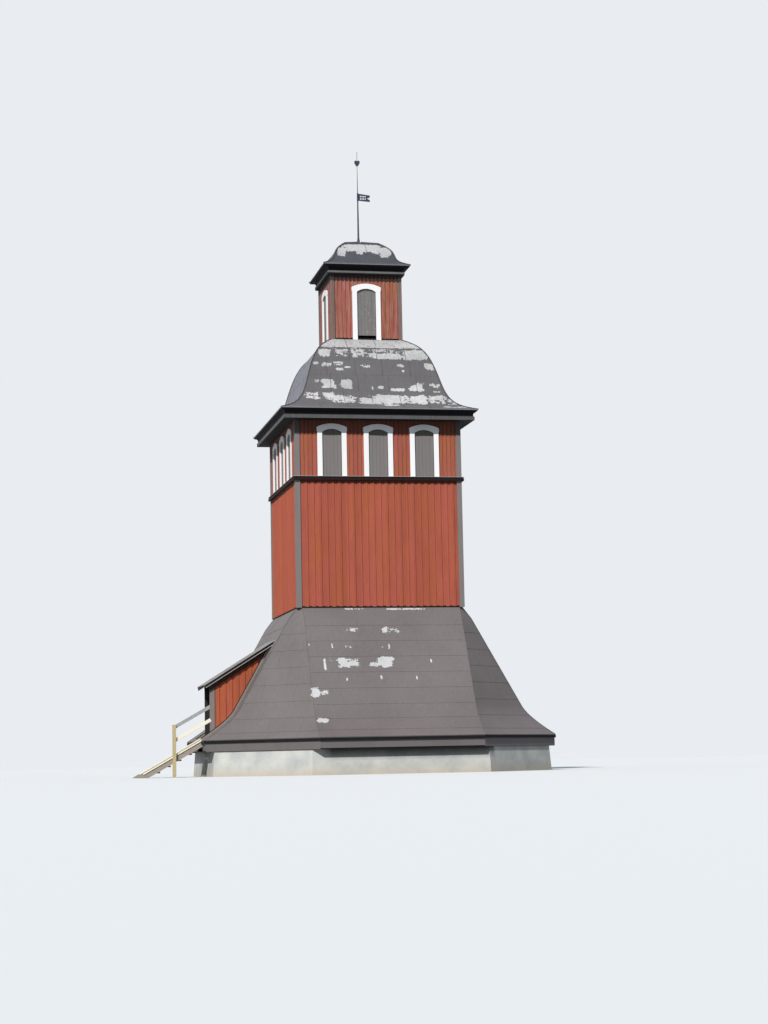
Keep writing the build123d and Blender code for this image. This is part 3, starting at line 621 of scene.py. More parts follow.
def painted_boards(name, slot, colours, pitch, roughness=0.85, shade=0.16, inside=None, painted_shade=None,
                   painted_side_light=None, flecks=None, tints=None, shine=0.5):
    """Matte paint on sawn boards: each board has its own shade, with grain drawn out upright.

    Inside is an axis, a middle on it, a half width and the other colour within it. Painted shade is
    two levels under an eave, the share of the colour that this painted shadow leaves, and the eave's
    slope; its edge waves from board to board as a cast shadow's edge does. Painted side light is how
    far left the paint takes a tint for how the light falls on that side, and that tint. Flecks are
    the colour under the paint, where they start in the noise and its scale. Tints are two shares of
    red, green and blue between which the paint drifts."""
    material, tree, shader, place = new_material(name, slot, roughness, shine=shine)
    axes = add(tree, "SeparateXYZ", {0: place}).outputs
    cell = add(tree, "VectorMath", {0: place, 1: (pitch, pitch, 50)}, operation="SNAP")
    chance = add(tree, "TexWhiteNoise", {"Vector": cell}).outputs["Value"]
    # Grain 12 mm wide and 0.4 m long, coarse enough to show, and stains a third of a metre wide
    grain = drawn_pattern(tree, place, (80, 80, 2.5), 4.0)
    stain = drawn_pattern(tree, place, (3, 3, 0.9), 5.0)
    tone = add(tree, "Math", {0: chance, 1: 0.35, 2: 0.12}, operation="MULTIPLY_ADD")
    tone = add(tree, "Math", {0: stain, 1: 0.6, 2: tone}, operation="MULTIPLY_ADD")
    dark, light = map(linear, colours)
    colour = add(tree, "Mix", {0: tone, 6: dark, 7: light}, **LAID).outputs[2]
    if inside:
        away = add(tree, "Math", {0: axes[inside[0]], 1: inside[1]}, operation="SUBTRACT")
        away = add(tree, "Math", {0: away}, operation="ABSOLUTE")
        far = add(tree, "Math", {0: away, 1: inside[2]}, operation="GREATER_THAN")
        colour = add(tree, "Mix", {0: far, 6: linear(inside[3]), 7: colour}, **LAID).outputs[2]
    # Painted side light: the left side takes a tint for how the light falls on it, lighter where it stands
    # for sunlight and darker where it stands for shade
    if painted_side_light:
        on_painted_side = add(tree, "Math", {0: axes[0], 1: -painted_side_light[0]}, operation="LESS_THAN")
        colour = add(tree, "Mix", {0: on_painted_side, 6: colour, 7: painted_side_light[1]}, **MULTIPLIED).outputs[2]
    if flecks:
        peeled = drawn_pattern(tree, place, flecks[2], 3.0)
        peeled = add(tree, "MapRange", {0: peeled, 1: flecks[1], 2: flecks[1] + 0.04})
        colour = add(tree, "Mix", {0: peeled, 6: colour, 7: linear(flecks[0])}, **LAID).outputs[2]
    if tints:
        drift = drawn_pattern(tree, place, (2.2, 2.2, 0.4), 6.0)
        drift = add(tree, "MapRange", {0: drift, 1: 0.36, 2: 0.64})
        tint = add(tree, "Mix", {0: drift, 6: tints[0], 7: tints[1]}, **LAID).outputs[2]
        colour = add(tree, "Mix", {0: 1.0, 6: colour, 7: tint}, **MULTIPLIED).outputs[2]
    streak = add(tree, "MapRange", {0: grain, 1: 0.3, 2: 0.7, 3: 1 - shade, 4: 1 + shade})
    # Painted shade under an eave: the colour darkens between two levels as a cast shadow would, its edge
    # waving from board to board like the shadow's edge
    if painted_shade:
        low, high, share, slope = painted_shade
        level = add(tree, "Math", {0: axes[0], 1: -slope, 2: axes[2]}, operation="MULTIPLY_ADD")
        across = add(tree, "Math", {0: axes[0], 1: axes[1]}, operation="ADD")
        wave = add(tree, "Math", {0: across, 1: 2 * math.pi / pitch}, operation="MULTIPLY")
        wave = add(tree, "Math", {0: wave}, operation="SINE")
        level = add(tree, "Math", {0: wave, 1: 0.015, 2: level}, operation="MULTIPLY_ADD")
        painted_dark = add(tree, "MapRange", {0: level, 1: low, 2: high, 3: 1.0, 4: share})
        streak = add(tree, "Math", {0: streak, 1: painted_dark}, operation="MULTIPLY")
    streaks = add(tree, "CombineXYZ", {0: streak, 1: streak, 2: streak})
    colour = add(tree, "Mix", {0: 1.0, 6: colour, 7: streaks}, **MULTIPLIED).outputs[2]
    end_material(tree, shader, colour, grain, 0.5, 0.003)
    return material


def bare_wood(name, colours, roughness=0.7):
    """Sawn softwood with no paint: warm where it is new, silver grey where it has stood for years."""
    material, tree, shader, place = new_material(name, "bare_timber", roughness)
    # Year rings 17 mm apart on the face of a board, coarse enough to show, and bent by slow noise
    drift = add(tree, "TexNoise", {"Vector": place, "Scale": 2.0, "Detail": 3.0}).outputs["Color"]
    bent = add(tree, "VectorMath", {0: place, 1: drift}, operation="ADD")
    grain = drawn_pattern(tree, bent, (9, 60, 60), 6.0)
    dark, light = map(linear, colours)
    tone = add(tree, "MapRange", {0: grain, 1: 0.32, 2: 0.68})
    colour = add(tree, "Mix", {0: tone, 6: dark, 7: light}, **LAID).outputs[2]
    end_material(tree, shader, colour, grain, 0.4, 0.002)
    return material


def peeling_sheet(name, paint, bare, bands=(), levels=(0.0, 1.0), patches=(), elsewhere=0.0, left=None):
    """Painted sheet metal: an old matte coat that has flaked off down to pale sheet in bands and patches.

    Bands give the share that is bare over the height between two levels. Patches are their middle and
    their half sizes on the front, and how bare they are. The other sides have only a part of that wear.
    Left is a lighter, bluer pair of shades for the left side, painted sheen of the sky's grazing
    reflection there."""
    material, tree, shader, place = new_material(name, "roof_sheet", 0.62)
    axes = add(tree, "SeparateXYZ", {0: place}).outputs
    worn = 0.0
    if bands or patches:
        # Flakes a hand wide, combed down the slope by the brush and torn in level dashes 40 mm high
        flake = drawn_pattern(tree, place, (3.4, 3.4, 7.0), 4.0, 0.55)
        comb = drawn_pattern(tree, place, (20, 20, 2.2), 2.0)
        torn = add(tree, "Math", {0: comb, 1: 0.7, 2: flake}, operation="MULTIPLY_ADD")
        dashes = drawn_pattern(tree, place, (6, 6, 26), 2.0)
        torn = add(tree, "Math", {0: dashes, 1: 0.6, 2: torn}, operation="MULTIPLY_ADD")
        torn = add(tree, "MapRange", {0: torn, 1: 0.94, 2: 1.36})
        share = 0.0
        if bands:
            height = add(tree, "MapRange", {0: axes[2], 1: levels[0], 2: levels[1]})
            ramp = add(tree, "ValToRGB", {0: height})
            stops = ramp.color_ramp.elements
            for spot, value in bands[2:]:
                stops.new(spot)
            for stop, (spot, value) in zip(stops, sorted(bands)):
                stop.position = spot
                stop.color = (value, value, value, 1)
            share = ramp
        for across, level, half_across, half_height, fill in patches:
            near = add(
                tree, "Mapping",
                {"Vector": place, "Location": (-across / half_across, 0, -level / half_height),
                 "Scale": (1 / half_across, 0, 1 / half_height)},
            )
            near = add(tree, "VectorMath", {0: near, 1: near}, operation="MULTIPLY")
            away = add(tree, "VectorMath", {0: near}, operation="LENGTH").outputs["Value"]
            inside = add(tree, "MapRange", {0: away, 1: 0.35, 2: 1.25, 3: fill, 4: 0.0})
            share = add(tree, "Math", {0: share, 1: inside}, operation="MAXIMUM")
        front = on_side(tree, axes[1], axes[0], elsewhere)
        share = add(tree, "Math", {0: share, 1: front}, operation="MULTIPLY")
        over = add(tree, "Math", {0: share, 1: torn}, operation="SUBTRACT")
        worn = add(tree, "MapRange", {0: over, 1: 0.0, 2: 0.06})
    # Coat with an uneven fade in soft clouds 1.7 m across, with rain streaks 70 mm wide and over a metre
    # long
    cloud = add(tree, "TexNoise", {"Vector": place, "Scale": 0.6, "Detail": 6.0})
    streak = drawn_pattern(tree, place, (14, 14, 0.8), 4.0)
    tone = add(tree, "Math", {0: cloud, 1: 0.6, 2: 0.0}, operation="MULTIPLY_ADD")
    tone = add(tree, "Math", {0: streak, 1: 0.4, 2: tone}, operation="MULTIPLY_ADD")
    tone = add(tree, "MapRange", {0: tone, 1: 0.35, 2: 0.65})
    coat = add(tree, "Mix", {0: tone, 6: linear(paint[0]), 7: linear(paint[1])}, **LAID).outputs[2]
    # Painted sheen: the coat on the left side is drawn lighter and bluer, as the sky's grazing reflection
    # there
    if left:
        pale = add(tree, "Mix", {0: tone, 6: linear(left[0]), 7: linear(left[1])}, **LAID).outputs[2]
        sheen_side = on_side(tree, axes[0], axes[1])
        coat = add(tree, "Mix", {0: sheen_side, 6: coat, 7: pale}, **LAID).outputs[2]
    metal = add(tree, "Mix", {0: tone, 6: linear(bare[0]), 7: linear(bare[1])}, **LAID).outputs[2]
    colour = add(tree, "Mix", {0: worn, 6: coat, 7: metal}, **LAID).outputs[2]
    rise = add(tree, "Math", {0: worn, 1: -0.4, 2: cloud}, operation="MULTIPLY_ADD")
    end_material(tree, shader, colour, rise, 0.5, 0.004)
    return material


def lime_render(name, colours, shade):
    """Lime render on masonry: chalky and uneven, with damp and soil at its foot.

    Shade is two levels between which the front is darkened up to the eave as painted shadow of the eave,
    and the share left."""
    material, tree, shader, place = new_material(name, "render_plaster", 0.92)
    axes = add(tree, "SeparateXYZ", {0: place}).outputs
    # Uneven trowelling 0.6 m across, and grit 11 mm wide, coarse enough to show
    cloud = add(tree, "TexNoise", {"Vector": place, "Scale": 1.6, "Detail": 8.0, "Roughness": 0.6})
    grit = add(tree, "TexNoise", {"Vector": place, "Scale": 90.0, "Detail": 3.0})
    dark, light, soil = map(linear, colours)
    tone = add(tree, "MapRange", {0: cloud, 1: 0.33, 2: 0.66})
    colour = add(tree, "Mix", {0: tone, 6: dark, 7: light}, **LAID).outputs[2]
    at_foot = add(tree, "MapRange", {0: axes[2], 1: 0.02, 2: 0.34, 3: 0.9, 4: 0.0})
    damp = add(tree, "Math", {0: at_foot, 1: cloud}, operation="MULTIPLY")
    colour = add(tree, "Mix", {0: damp, 6: colour, 7: soil}, **LAID).outputs[2]
    # Painted shadow of the eave: the front of the render darkens up to the eave, away from the sunlit
    # corner
    low, high, left = shade
    painted_dark = add(tree, "MapRange", {0: axes[2], 1: low, 2: high, 3: 0.0, 4: 1 - left})
    front = add(tree, "MapRange", {0: axes[1], 1: 0.3 - PLINTH_REACH, 2: 0.2 - PLINTH_REACH})
    inner = add(tree, "MapRange", {0: axes[0], 1: 0.05 - HIP_SIDE, 2: 0.4 - HIP_SIDE})
    front = add(tree, "Math", {0: front, 1: inner}, operation="MULTIPLY")
    painted_dark = add(tree, "Math", {0: painted_dark, 1: front}, operation="MULTIPLY")
    colour = add(tree, "Mix", {0: painted_dark, 6: colour, 7: (0, 0, 0, 1)}, **LAID).outputs[2]
    height = add(tree, "Math", {0: cloud, 1: 3.0, 2: grit}, operation="MULTIPLY_ADD")
    end_material(tree, shader, colour, height, 0.4, 0.004)
    return material


def forged_iron(name, colours):
    """Forged iron under old blue-black paint, with rust coming through in specks."""
    material, tree, shader, place = new_material(name, "wrought_iron", 0.55, 0.3)
    # Specks 55 mm across, coarse enough to show
    speck = add(tree, "TexNoise", {"Vector": place, "Scale": 18.0, "Detail": 6.0})
    rusty = add(tree, "MapRange", {0: speck, 1: 0.58, 2: 0.66})
    paint, rust = map(linear, colours)
    colour = add(tree, "Mix", {0: rusty, 6: paint, 7: rust}, **LAID).outputs[2]
    end_material(tree, shader, colour, speck, 0.4, 0.002)
    return material


# Bare patches on the front, as read off: middle across and up, half width and height, how bare
SKIRT_PATCHES = (
    (-1.36, 3.49, 0.38, 0.15, 0.95), (-0.12, 3.50, 0.27, 0.18, 1.15), (-0.47, 3.42, 0.22, 0.07, 0.9),
    (-1.87, 3.57, 0.07, 0.04, 0.7), (-2.47, 2.56, 0.16, 0.16, 1.2), (-2.2, 2.54, 0.16, 0.08, 0.85),
    (-2.36, 1.66, 0.19, 0.08, 1.0), (-2.07, 3.48, 0.035, 0.23, 0.85), (-0.84, 5.26, 0.38, 0.03, 0.85),
    (0.75, 5.25, 0.62, 0.03, 0.85), (-1.15, 4.55, 0.3, 0.09, 0.52), (-0.01, 4.54, 0.1, 0.13, 1.0),
    (0.3, 4.53, 0.22, 0.1, 0.5), (-2.5, 4.1, 0.025, 0.1, 0.8), (-1.77, 4.04, 0.03, 0.09, 0.8),
    (-1.3, 4.0, 0.16, 0.05, 0.5), (-0.16, 3.99, 0.03, 0.06, 0.6), (0.06, 4.01, 0.03, 0.1, 0.85),
    (-1.42, 2.98, 0.03, 0.1, 0.8), (-0.32, 2.99, 0.035, 0.1, 1.0), (0.82, 2.98, 0.03, 0.08, 0.85),
    (1.36, 3.52, 0.03, 0.07, 0.7),
)
BELL_PATCHES = (
    (-1.57, 13.8, 0.23, 0.17, 1.1), (-1.01, 13.81, 0.29, 0.16, 0.62), (-0.43, 13.8, 0.26, 0.18, 0.9),
    (0.43, 13.7, 0.58, 0.12, 1.2), (0.48, 13.9, 0.56, 0.08, 0.6), (1.49, 13.76, 0.46, 0.21, 1.3),
    (-1.89, 13.4, 0.1, 0.06, 0.95), (-1.54, 13.37, 0.2, 0.09, 0.6), (-1.13, 13.39, 0.17, 0.09, 0.8),
    (-1.11, 13.2, 0.14, 0.05, 0.9), (-0.85, 13.28, 0.12, 0.04, 0.9), (-0.26, 13.33, 0.17, 0.06, 0.6),
    (0.93, 13.36, 0.12, 0.06, 0.85), (1.9, 13.34, 0.17, 0.13, 0.95), (1.01, 13.16, 0.05, 0.05, 0.8),
    (-1.91, 12.77, 0.08, 0.07, 0.6), (-1.52, 12.66, 0.26, 0.17, 0.95), (-0.92, 12.68, 0.24, 0.17, 1.3),
    (-0.07, 12.59, 0.03, 0.1, 0.8), (0.19, 12.58, 0.13, 0.06, 0.9), (0.77, 12.5, 0.28, 0.06, 0.9),
    (1.4, 12.56, 0.25, 0.12, 1.0), (1.56, 12.72, 0.17, 0.06, 0.9), (2.06, 12.65, 0.21, 0.1, 0.65),
    (2.09, 12.45, 0.15, 0.03, 0.9), (-2.08, 12.23, 0.28, 0.14, 0.8), (-1.55, 12.21, 0.24, 0.17, 0.8),
    (-1.08, 12.12, 0.42, 0.15, 1.0), (-0.13, 12.07, 0.46, 0.14, 1.2), (0.46, 12.13, 0.67, 0.19, 1.1),
    (1.43, 12.14, 0.31, 0.18, 1.2), (2.06, 12.15, 0.35, 0.17, 0.75), (2.57, 12.06, 0.22, 0.13, 0.7),
    (2.55, 11.84, 0.4, 0.04, 0.8), (0.45, 11.89, 0.26, 0.04, 0.8),
)
CAP_PATCHES = (
    (-0.78, 17.45, 0.15, 0.18, 1.4), (-0.03, 17.61, 0.66, 0.17, 1.5), (0.73, 17.47, 0.21, 0.21, 1.4),
    (-0.16, 17.41, 0.13, 0.06, 0.9), (0.37, 17.43, 0.16, 0.06, 0.9),
)

# Painted shade under the stair cover, how the red paints drift, and tints of painted light and shade on
# the left sides
COVER_PAINTED_SHADE = (COVER_LINE - 0.26, COVER_LINE - 0.21, 0.12, COVER_SLOPE)
RED_DRIFT = ((1.02, 0.97, 1.22, 1.0), (0.99, 1.04, 0.8, 1.0))
LEFT_PAINTED_LIGHT = (1.12, 1.06, 0.9, 1.0)
LEFT_PAINTED_SHADE = (0.72, 0.78, 0.9, 1.0)

# Finishes, named for what they are and how they were made
# Painted shade under the drip band, and the left side tinted lighter and oranger as painted sunlight
RED = painted_boards(
    "red slurry paint on sawn boards", "red_boards", ("#8C3F29", "#AF583F"), BOARD_PITCH, shade=0.12,
    painted_shade=(BAND_BASE - 0.14, BAND_BASE - 0.06, 0.34, 0), painted_side_light=(SHAFT_HALF - FACE_SKIN, LEFT_PAINTED_LIGHT),
    tints=RED_DRIFT,
)
# Painted shade under the belfry's cornice
RED_UPPER = painted_boards(
    "red slurry paint on narrow boards", "red_boards", ("#89432E", "#A85D46"), UPPER_PITCH,
    painted_shade=(SOFFIT - 0.52, SOFFIT - 0.4, 0.42, 0), tints=RED_DRIFT,
)
# Painted shade under the stair cover; the inside faces are unpainted, drawn near-black as painted shade
RED_STAIR = painted_boards(
    "red slurry paint on the stair cover", "red_boards", ("#8C3E24", "#B35A3B"), STAIR_BOARD_PITCH,
    inside=(1, STAIR_MIDDLE, 0.69, "#1F1A17"), painted_shade=COVER_PAINTED_SHADE, tints=RED_DRIFT,
)
# Painted shade on the tops of the grey corner boards under the stair cover
BARGE_PAINT = painted_boards(
    "black barges and grey corner boards", "grey_boards", ("#151414", "#201E1E"), 0.9,
    inside=(1, STAIR_MIDDLE, 0.8, "#7C7370"), painted_shade=COVER_PAINTED_SHADE,
)
FASCIA = painted_boards(
    "grey oil paint on the eave boards", "grey_boards", ("#5A5452", "#676160"), 0.9, 0.7, 0.06
)
# Painted shade under the cap's cornice, and the left side darker and greyer as painted shade
RED_LANTERN = painted_boards(
    "worn red paint on the lantern", "red_boards", ("#793A2B", "#A65C48"), UPPER_PITCH, shade=0.3,
    painted_shade=(CAP_SOFFIT - 0.235, CAP_SOFFIT - 0.2, 0.08, 0), flecks=("#A37566", 0.53, (60, 60, 1.0)),
    painted_side_light=(LANTERN_HALF - FACE_SKIN, LEFT_PAINTED_SHADE), tints=RED_DRIFT,
)
# Painted shade on the tops of the corner boards under the belfry's cornice
GREY = painted_boards(
    "grey oil paint on boards", "grey_boards", ("#6A625F", "#7C7370"), 0.9, 0.7, 0.06,
    painted_shade=(SOFFIT - 0.49, SOFFIT - 0.46, 0.2, 0),
)
# Painted shade on the shutters' tops under the belfry's cornice
SHUTTER = painted_boards(
    "grey oil paint on shutters", "grey_boards", ("#69625F", "#797370"), 0.9, 0.7, 0.04,
    painted_shade=(SOFFIT - 0.51, SOFFIT - 0.47, 0.42, 0),
)
FLECKED = painted_boards(
    "grey paint flaking off the lantern's shutters", "grey_boards", ("#625F5E", "#77736F"), 0.12, 0.75,
    0.12, flecks=("#A9A6A0", 0.64, (35, 35, 5)),
)
# Painted shade on the tops of the lantern's corner boards under the cap's cornice
WORN = painted_boards(
    "weathered paint on the lantern's boards", "grey_boards", ("#5C4A43", "#836F67"), 0.13, 0.8, 0.3,
    painted_shade=(CAP_SOFFIT - 0.235, CAP_SOFFIT - 0.2, 0.1, 0),
)
WHITE = painted_boards("white oil paint on casings", "white_trim", ("#EBE9E8", "#F6F4F2"), 0.3, 0.55, 0.03)
DARK = painted_boards(
    "black tar paint on trim", "dark_trim", ("#121114", "#1B1A1E"), 0.3, 0.85, 0.1, shine=0.15
)
# The band's lower part is dark red, painted shade of the boards under the band
BAND_PAINT = painted_boards(
    "black tar paint over dark red painted shade", "dark_trim", ("#121114", "#1B1A1E"), BOARD_PITCH, 0.85, 0.1,
    inside=(2, BAND_BASE, 0.052, "#2C1411"), shine=0.15,
)
STRIP = painted_boards(
    "weathered paint on the cornice strip", "grey_boards", ("#383637", "#53504F"), 0.9, 0.75, 0.35
)
PALE_STRIP = painted_boards(
    "rubbed paint on the lantern's cornice strip", "grey_boards", ("#4B4948", "#6C6968"), 0.9, 0.75, 0.35
)
TIMBER = bare_wood("old timber inside", ("#4A3D30", "#6A5846"))
FRESH = bare_wood("new sawn pine", ("#EADFC2", "#F8F1DE"), 0.6)
POST = bare_wood("yellowed pine", ("#A89468", "#CDBB90"), 0.7)
SILVER = bare_wood("silvered pine", ("#8C8C87", "#B0B1AC"), 0.8)
OLD_PINE = bare_wood("weathered brown pine", ("#84786C", "#AEA294"), 0.8)
# The plinth's front is darkened up to the eave as painted shadow of the eave
PLINTH = lime_render("lime render on masonry", ("#ABACA9", "#CBC9C0", "#B9A383"), (0.41, 0.79, 0.08))
IRON = forged_iron("painted forged iron", ("#293348", "#4A3A34"))
SKIRT_SHEET = peeling_sheet(
    "matte paint on the skirt's sheet", ("#5D5655", "#6A6260"), ("#ABAAA8", "#C6C5C3"),
    patches=SKIRT_PATCHES,
)
# The left side's lighter, bluer coat is painted sheen
BELL_SHEET = peeling_sheet(
    "flaking paint on the bell roof's sheet", ("#4C494A", "#5C5859"), ("#93918E", "#C4C2BF"),
    patches=BELL_PATCHES,
    bands=((0.0, 0.0), (0.855, 0.0), (0.87, 0.97), (1.0, 1.0)),
    levels=(BELL_BASE, LANTERN_BASE), elsewhere=0.3, left=("#6A6A70", "#7B7B82"),
)
CAP_SHEET = peeling_sheet(
    "flaking paint on the cap's sheet", ("#34343A", "#404047"), ("#A19F9D", "#BCBAB7"),
    patches=CAP_PATCHES,
    elsewhere=0.35,
)
COVER_SHEET = peeling_sheet(
    "grey paint on the stair cover's sheet", ("#6F6A68", "#827C7A"), ("#C4C2BC", "#D6D4CE")
)
LEAD = peeling_sheet("dull lead flashing", ("#78726A", "#888177"), ("#8F8C86", "#AAA7A1"))
FLASHING = peeling_sheet("light grey flashing", ("#8F8C86", "#AAA7A1"), ("#C4C2BC", "#D6D4CE"))
EDGE = peeling_sheet("grey paint on the roofs' edges", ("#6B6A6E", "#7E7D82"), ("#A8A6A4", "#C4C2BF"))
SEAM = peeling_sheet("dark paint on seams", ("#38363B", "#454348"), ("#8C8883", "#A09B95"))

# Frame's own pieces
dress(PLINTH, "plinth_sides", "plinth_corners")
dress(SKIRT_SHEET, "skirt_front_slope", "skirt_right_slope", "skirt_back_slope", "skirt_left_slope_sides",
      "skirt_left_slope_top", "skirt_corner_slopes", "stair_cover_roof")
dress(TIMBER, "sill_beam", "entrance_floor", "belfry_floor", "lantern_floor", "stair_treads")
dress(GREY, "corner_boards")
dress(WORN, "lantern_corner_boards")
dress(RED, *(f"shaft_{side}_wall" for side in SIDE_NAMES))
dress(RED_UPPER, *(f"belfry_{side}_wall" for side in SIDE_NAMES))
dress(RED_LANTERN, "lantern_walls_front_back", "lantern_walls_sides")
dress(RED_STAIR, "stair_cover_walls")
dress(BARGE_PAINT, "stair_cover_trim")
dress(FASCIA, "skirt_eave_boards")
dress(WHITE, "belfry_casings", "lantern_casings")
dress(DARK, "belfry_shutters", "lantern_shutters", "belfry_cornice", "lantern_cornice")
dress(BAND_PAINT, "drip_band")
dress(BELL_SHEET, "bell_roof_front_back", "bell_roof_sides")
dress(CAP_SHEET, "cap_roof")
dress(OLD_PINE, "stair_stringers")
dress(SILVER, "stair_rails")
dress(POST, "stair_newel")
dress(IRON, "spire_rod", "heart_finial", "vane")

# Roofs: sheet in stepped courses, with upright joints
flare = bend(SKIRT_KNEE, SKIRT_TURN, (EAVE_REACH, SKIRT_EAVE), FLARE_PULL)
skirt_curve = Profile([SKIRT_HEAD, SKIRT_SHOULDER] + flare)
corner_curve = Profile([((HIP_SIDE + reach) / CORNER, level) for reach, level in skirt_curve.points])
bell_curve = Profile(
    bend(BELL_HEAD, BELL_TURN, BELL_SWAY, BELL_PULL)
    + bend(BELL_SWAY, BELL_FOOT_TURN, BELL_EAVE, BELL_PULL)[1:]
)
cap_curve = Profile(
    [CAP_HEAD]
    + bend(CAP_SHOULDER, CAP_TURN, CAP_SWAY, BELL_PULL, CAP_STEPS)
    + bend(CAP_SWAY, CAP_FOOT_TURN, CAP_EAVE, BELL_PULL, CAP_STEPS)[1:]
)
for number, (side, turn) in enumerate(zip(SIDE_NAMES, FRONT_TURNS)):
    roof_sheets(f"bell_roof_sheets_{side}", bell_curve, BELL_FIRST, BELL_COURSE, lambda reach: reach,
                BELL_SHEET, turn, BELL_SEAMS, BELL_SEED + number, SEAM, FLAT_LIFT)
    roof_sheets(f"cap_roof_sheets_{side}", cap_curve, CAP_FIRST, BELL_COURSE, lambda reach: reach,
                CAP_SHEET, turn, CAP_SEAMS, CAP_SEED + number, SEAM, FLAT_LIFT)
    roof_sheets(f"skirt_sheets_{CORNER_NAMES[number]}", corner_curve, SKIRT_FIRST + CORNER_SHIFT,
                COURSE, lambda reach: reach - CORNER * HIP_SIDE, SKIRT_SHEET, turn + CORNER_TURN,
                SKIRT_SEAMS, CORNER_SEED + number)
    if side != "left":
        roof_sheets(f"skirt_sheets_{side}", skirt_curve, SKIRT_FIRST, COURSE, lambda reach: HIP_SIDE,
                    SKIRT_SHEET, turn, SKIRT_SEAMS, SKIRT_SEED + number)

# Cladding of the shaft, the belfry and the lantern
shaft_edge = SHAFT_HALF + CORNER_DEPTH - CORNER_WIDTH
lantern_edge = LANTERN_HALF + CORNER_DEPTH - UPPER_CORNER_WIDTH
wall_boards("shaft_boards", SHAFT_HALF, (SHAFT_BASE + BOARD_GAP, BAND_BASE), BOARD_PITCH, BOARD_WIDTH,
            shaft_edge, RED, seed=1)
wall_boards("belfry_boards", SHAFT_HALF, (BELFRY_BASE, SOFFIT), UPPER_PITCH, UPPER_WIDTH, shaft_edge,
            RED_UPPER, HATCHES, BELFRY_SPRING, seed=2)
wall_boards("lantern_boards", LANTERN_HALF, (LANTERN_BASE + FOOT_GAP, CAP_SOFFIT), UPPER_PITCH,
            UPPER_WIDTH, lantern_edge, RED_LANTERN, (0.0,), LANTERN_SPRING, seed=3)
# Dark rings behind the boards' feet, painted shade of the gap under the boards
ring_boards("shaft_foot_painted_shade", SHAFT_HALF, 0.012, (SHAFT_BASE + 0.002, SHAFT_BASE + FOOT_GAP), DARK, 0.0)
ring_boards("lantern_foot_painted_shade", LANTERN_HALF, 0.006, (LANTERN_BASE, LANTERN_BASE + 0.07), DARK, 0.0)
hatch_boards("belfry_shutter_boards", SHAFT_HALF, BELFRY_SILL, BELFRY_SPRING, HATCHES, SHUTTER)
hatch_boards("lantern_shutter_boards", LANTERN_HALF, LANTERN_SILL, LANTERN_SPRING, (0.0,), FLECKED)
ring_boards("belfry_cornice_strip", SHAFT_HALF + CORNICE_LEDGE, STRIP_DEPTH,
            (SOFFIT - 0.003, SOFFIT + 0.115), STRIP)
ring_boards("lantern_cornice_strip", LANTERN_HALF + CAP_LEDGE, STRIP_DEPTH,
            (CAP_SOFFIT + 0.038, CAP_SOFFIT + 0.116), PALE_STRIP)

# Dark board along the skirt's eave, and a dark strip at the fascia's foot, painted shadow of the gap under
# it
corner_eave = (HIP_SIDE + EAVE_REACH) / CORNER
corner_eave_half = (EAVE_REACH - HIP_SIDE) / CORNER
open_mesh("skirt_eave_edge")
for turn in FRONT_TURNS:
    for reach, half, twist in ((EAVE_REACH, HIP_SIDE, 0), (corner_eave, corner_eave_half, CORNER_TURN)):
        end = half + EAVE_JOIN
        low = SKIRT_BASE - SEAT
        block((-end, -reach - EAVE_BOARD[0], low), (end, -reach + SEAT, SKIRT_BASE + EAVE_BOARD[1]))
        turn_selected(turn + twist)
        # Dark strip at the fascia's foot, painted shadow of the gap under the fascia
        face = reach - FASCIA_SETBACK
        end = half - FASCIA_SETBACK * math.tan(math.radians(CORNER_TURN / 2))
        low = FASCIA_FOOT - SEAT
        block((-end, -face - FOOT_BOARD[0], low), (end, -face + FOOT_LAP, FASCIA_FOOT + FOOT_BOARD[1]))
        turn_selected(turn + twist)
close_mesh(DARK, bevel=0.003)

# Light edges of the bell roof and the cap, the bead round the crown and the sheet on the drip band
ring_boards("bell_eave_edge", BELL_EDGE - EDGE_LAP, 0.028, (BELL_BASE + 0.004, BELL_EAVE[1] + 0.008), EDGE)
ring_boards("cap_eave_edge", CAP_EDGE - EDGE_LAP, 0.026, (CAP_BASE + 0.006, CAP_EAVE[1] + 0.006), EDGE)
ring_boards("cap_crown_bead", CAP_SHOULDER[0] - EDGE_LAP, 0.035,
            (CAP_SHOULDER[1] - 0.02, CAP_SHOULDER[1] + 0.025), SEAM)
ring_boards("band_edge", SHAFT_HALF + EDGE_LAP, BAND_DEPTH - STRIP_DEPTH,
            (BELFRY_BASE - 0.008, BELFRY_BASE + 0.006), FLASHING)

# Beads over the hips of the roofs
for side, corner, turn in zip(SIDE_NAMES, CORNER_NAMES, FRONT_TURNS):
    for name, curve, radius in (("bell", bell_curve, 0.018), ("cap", cap_curve, 0.022)):
        places = [curve.at(mark, BEAD_LIFT) for mark in curve.marks]
        line = [(reach, -reach, level) for reach, level in places]
        path_tube(f"{name}_hip_{corner}", line, radius, SEAM, turn)
    places = [skirt_curve.at(mark, SKIRT_BEAD_LIFT) for mark in skirt_curve.marks]
    for end, across in (("left", -HIP_SIDE - HIP_SHIFT), ("right", HIP_SIDE + HIP_SHIFT)):
        line = [(across, -reach, level) for reach, level in places]
        path_tube(f"skirt_hip_{side}_{end}", line, SKIRT_BEAD, SKIRT_SHEET, turn)

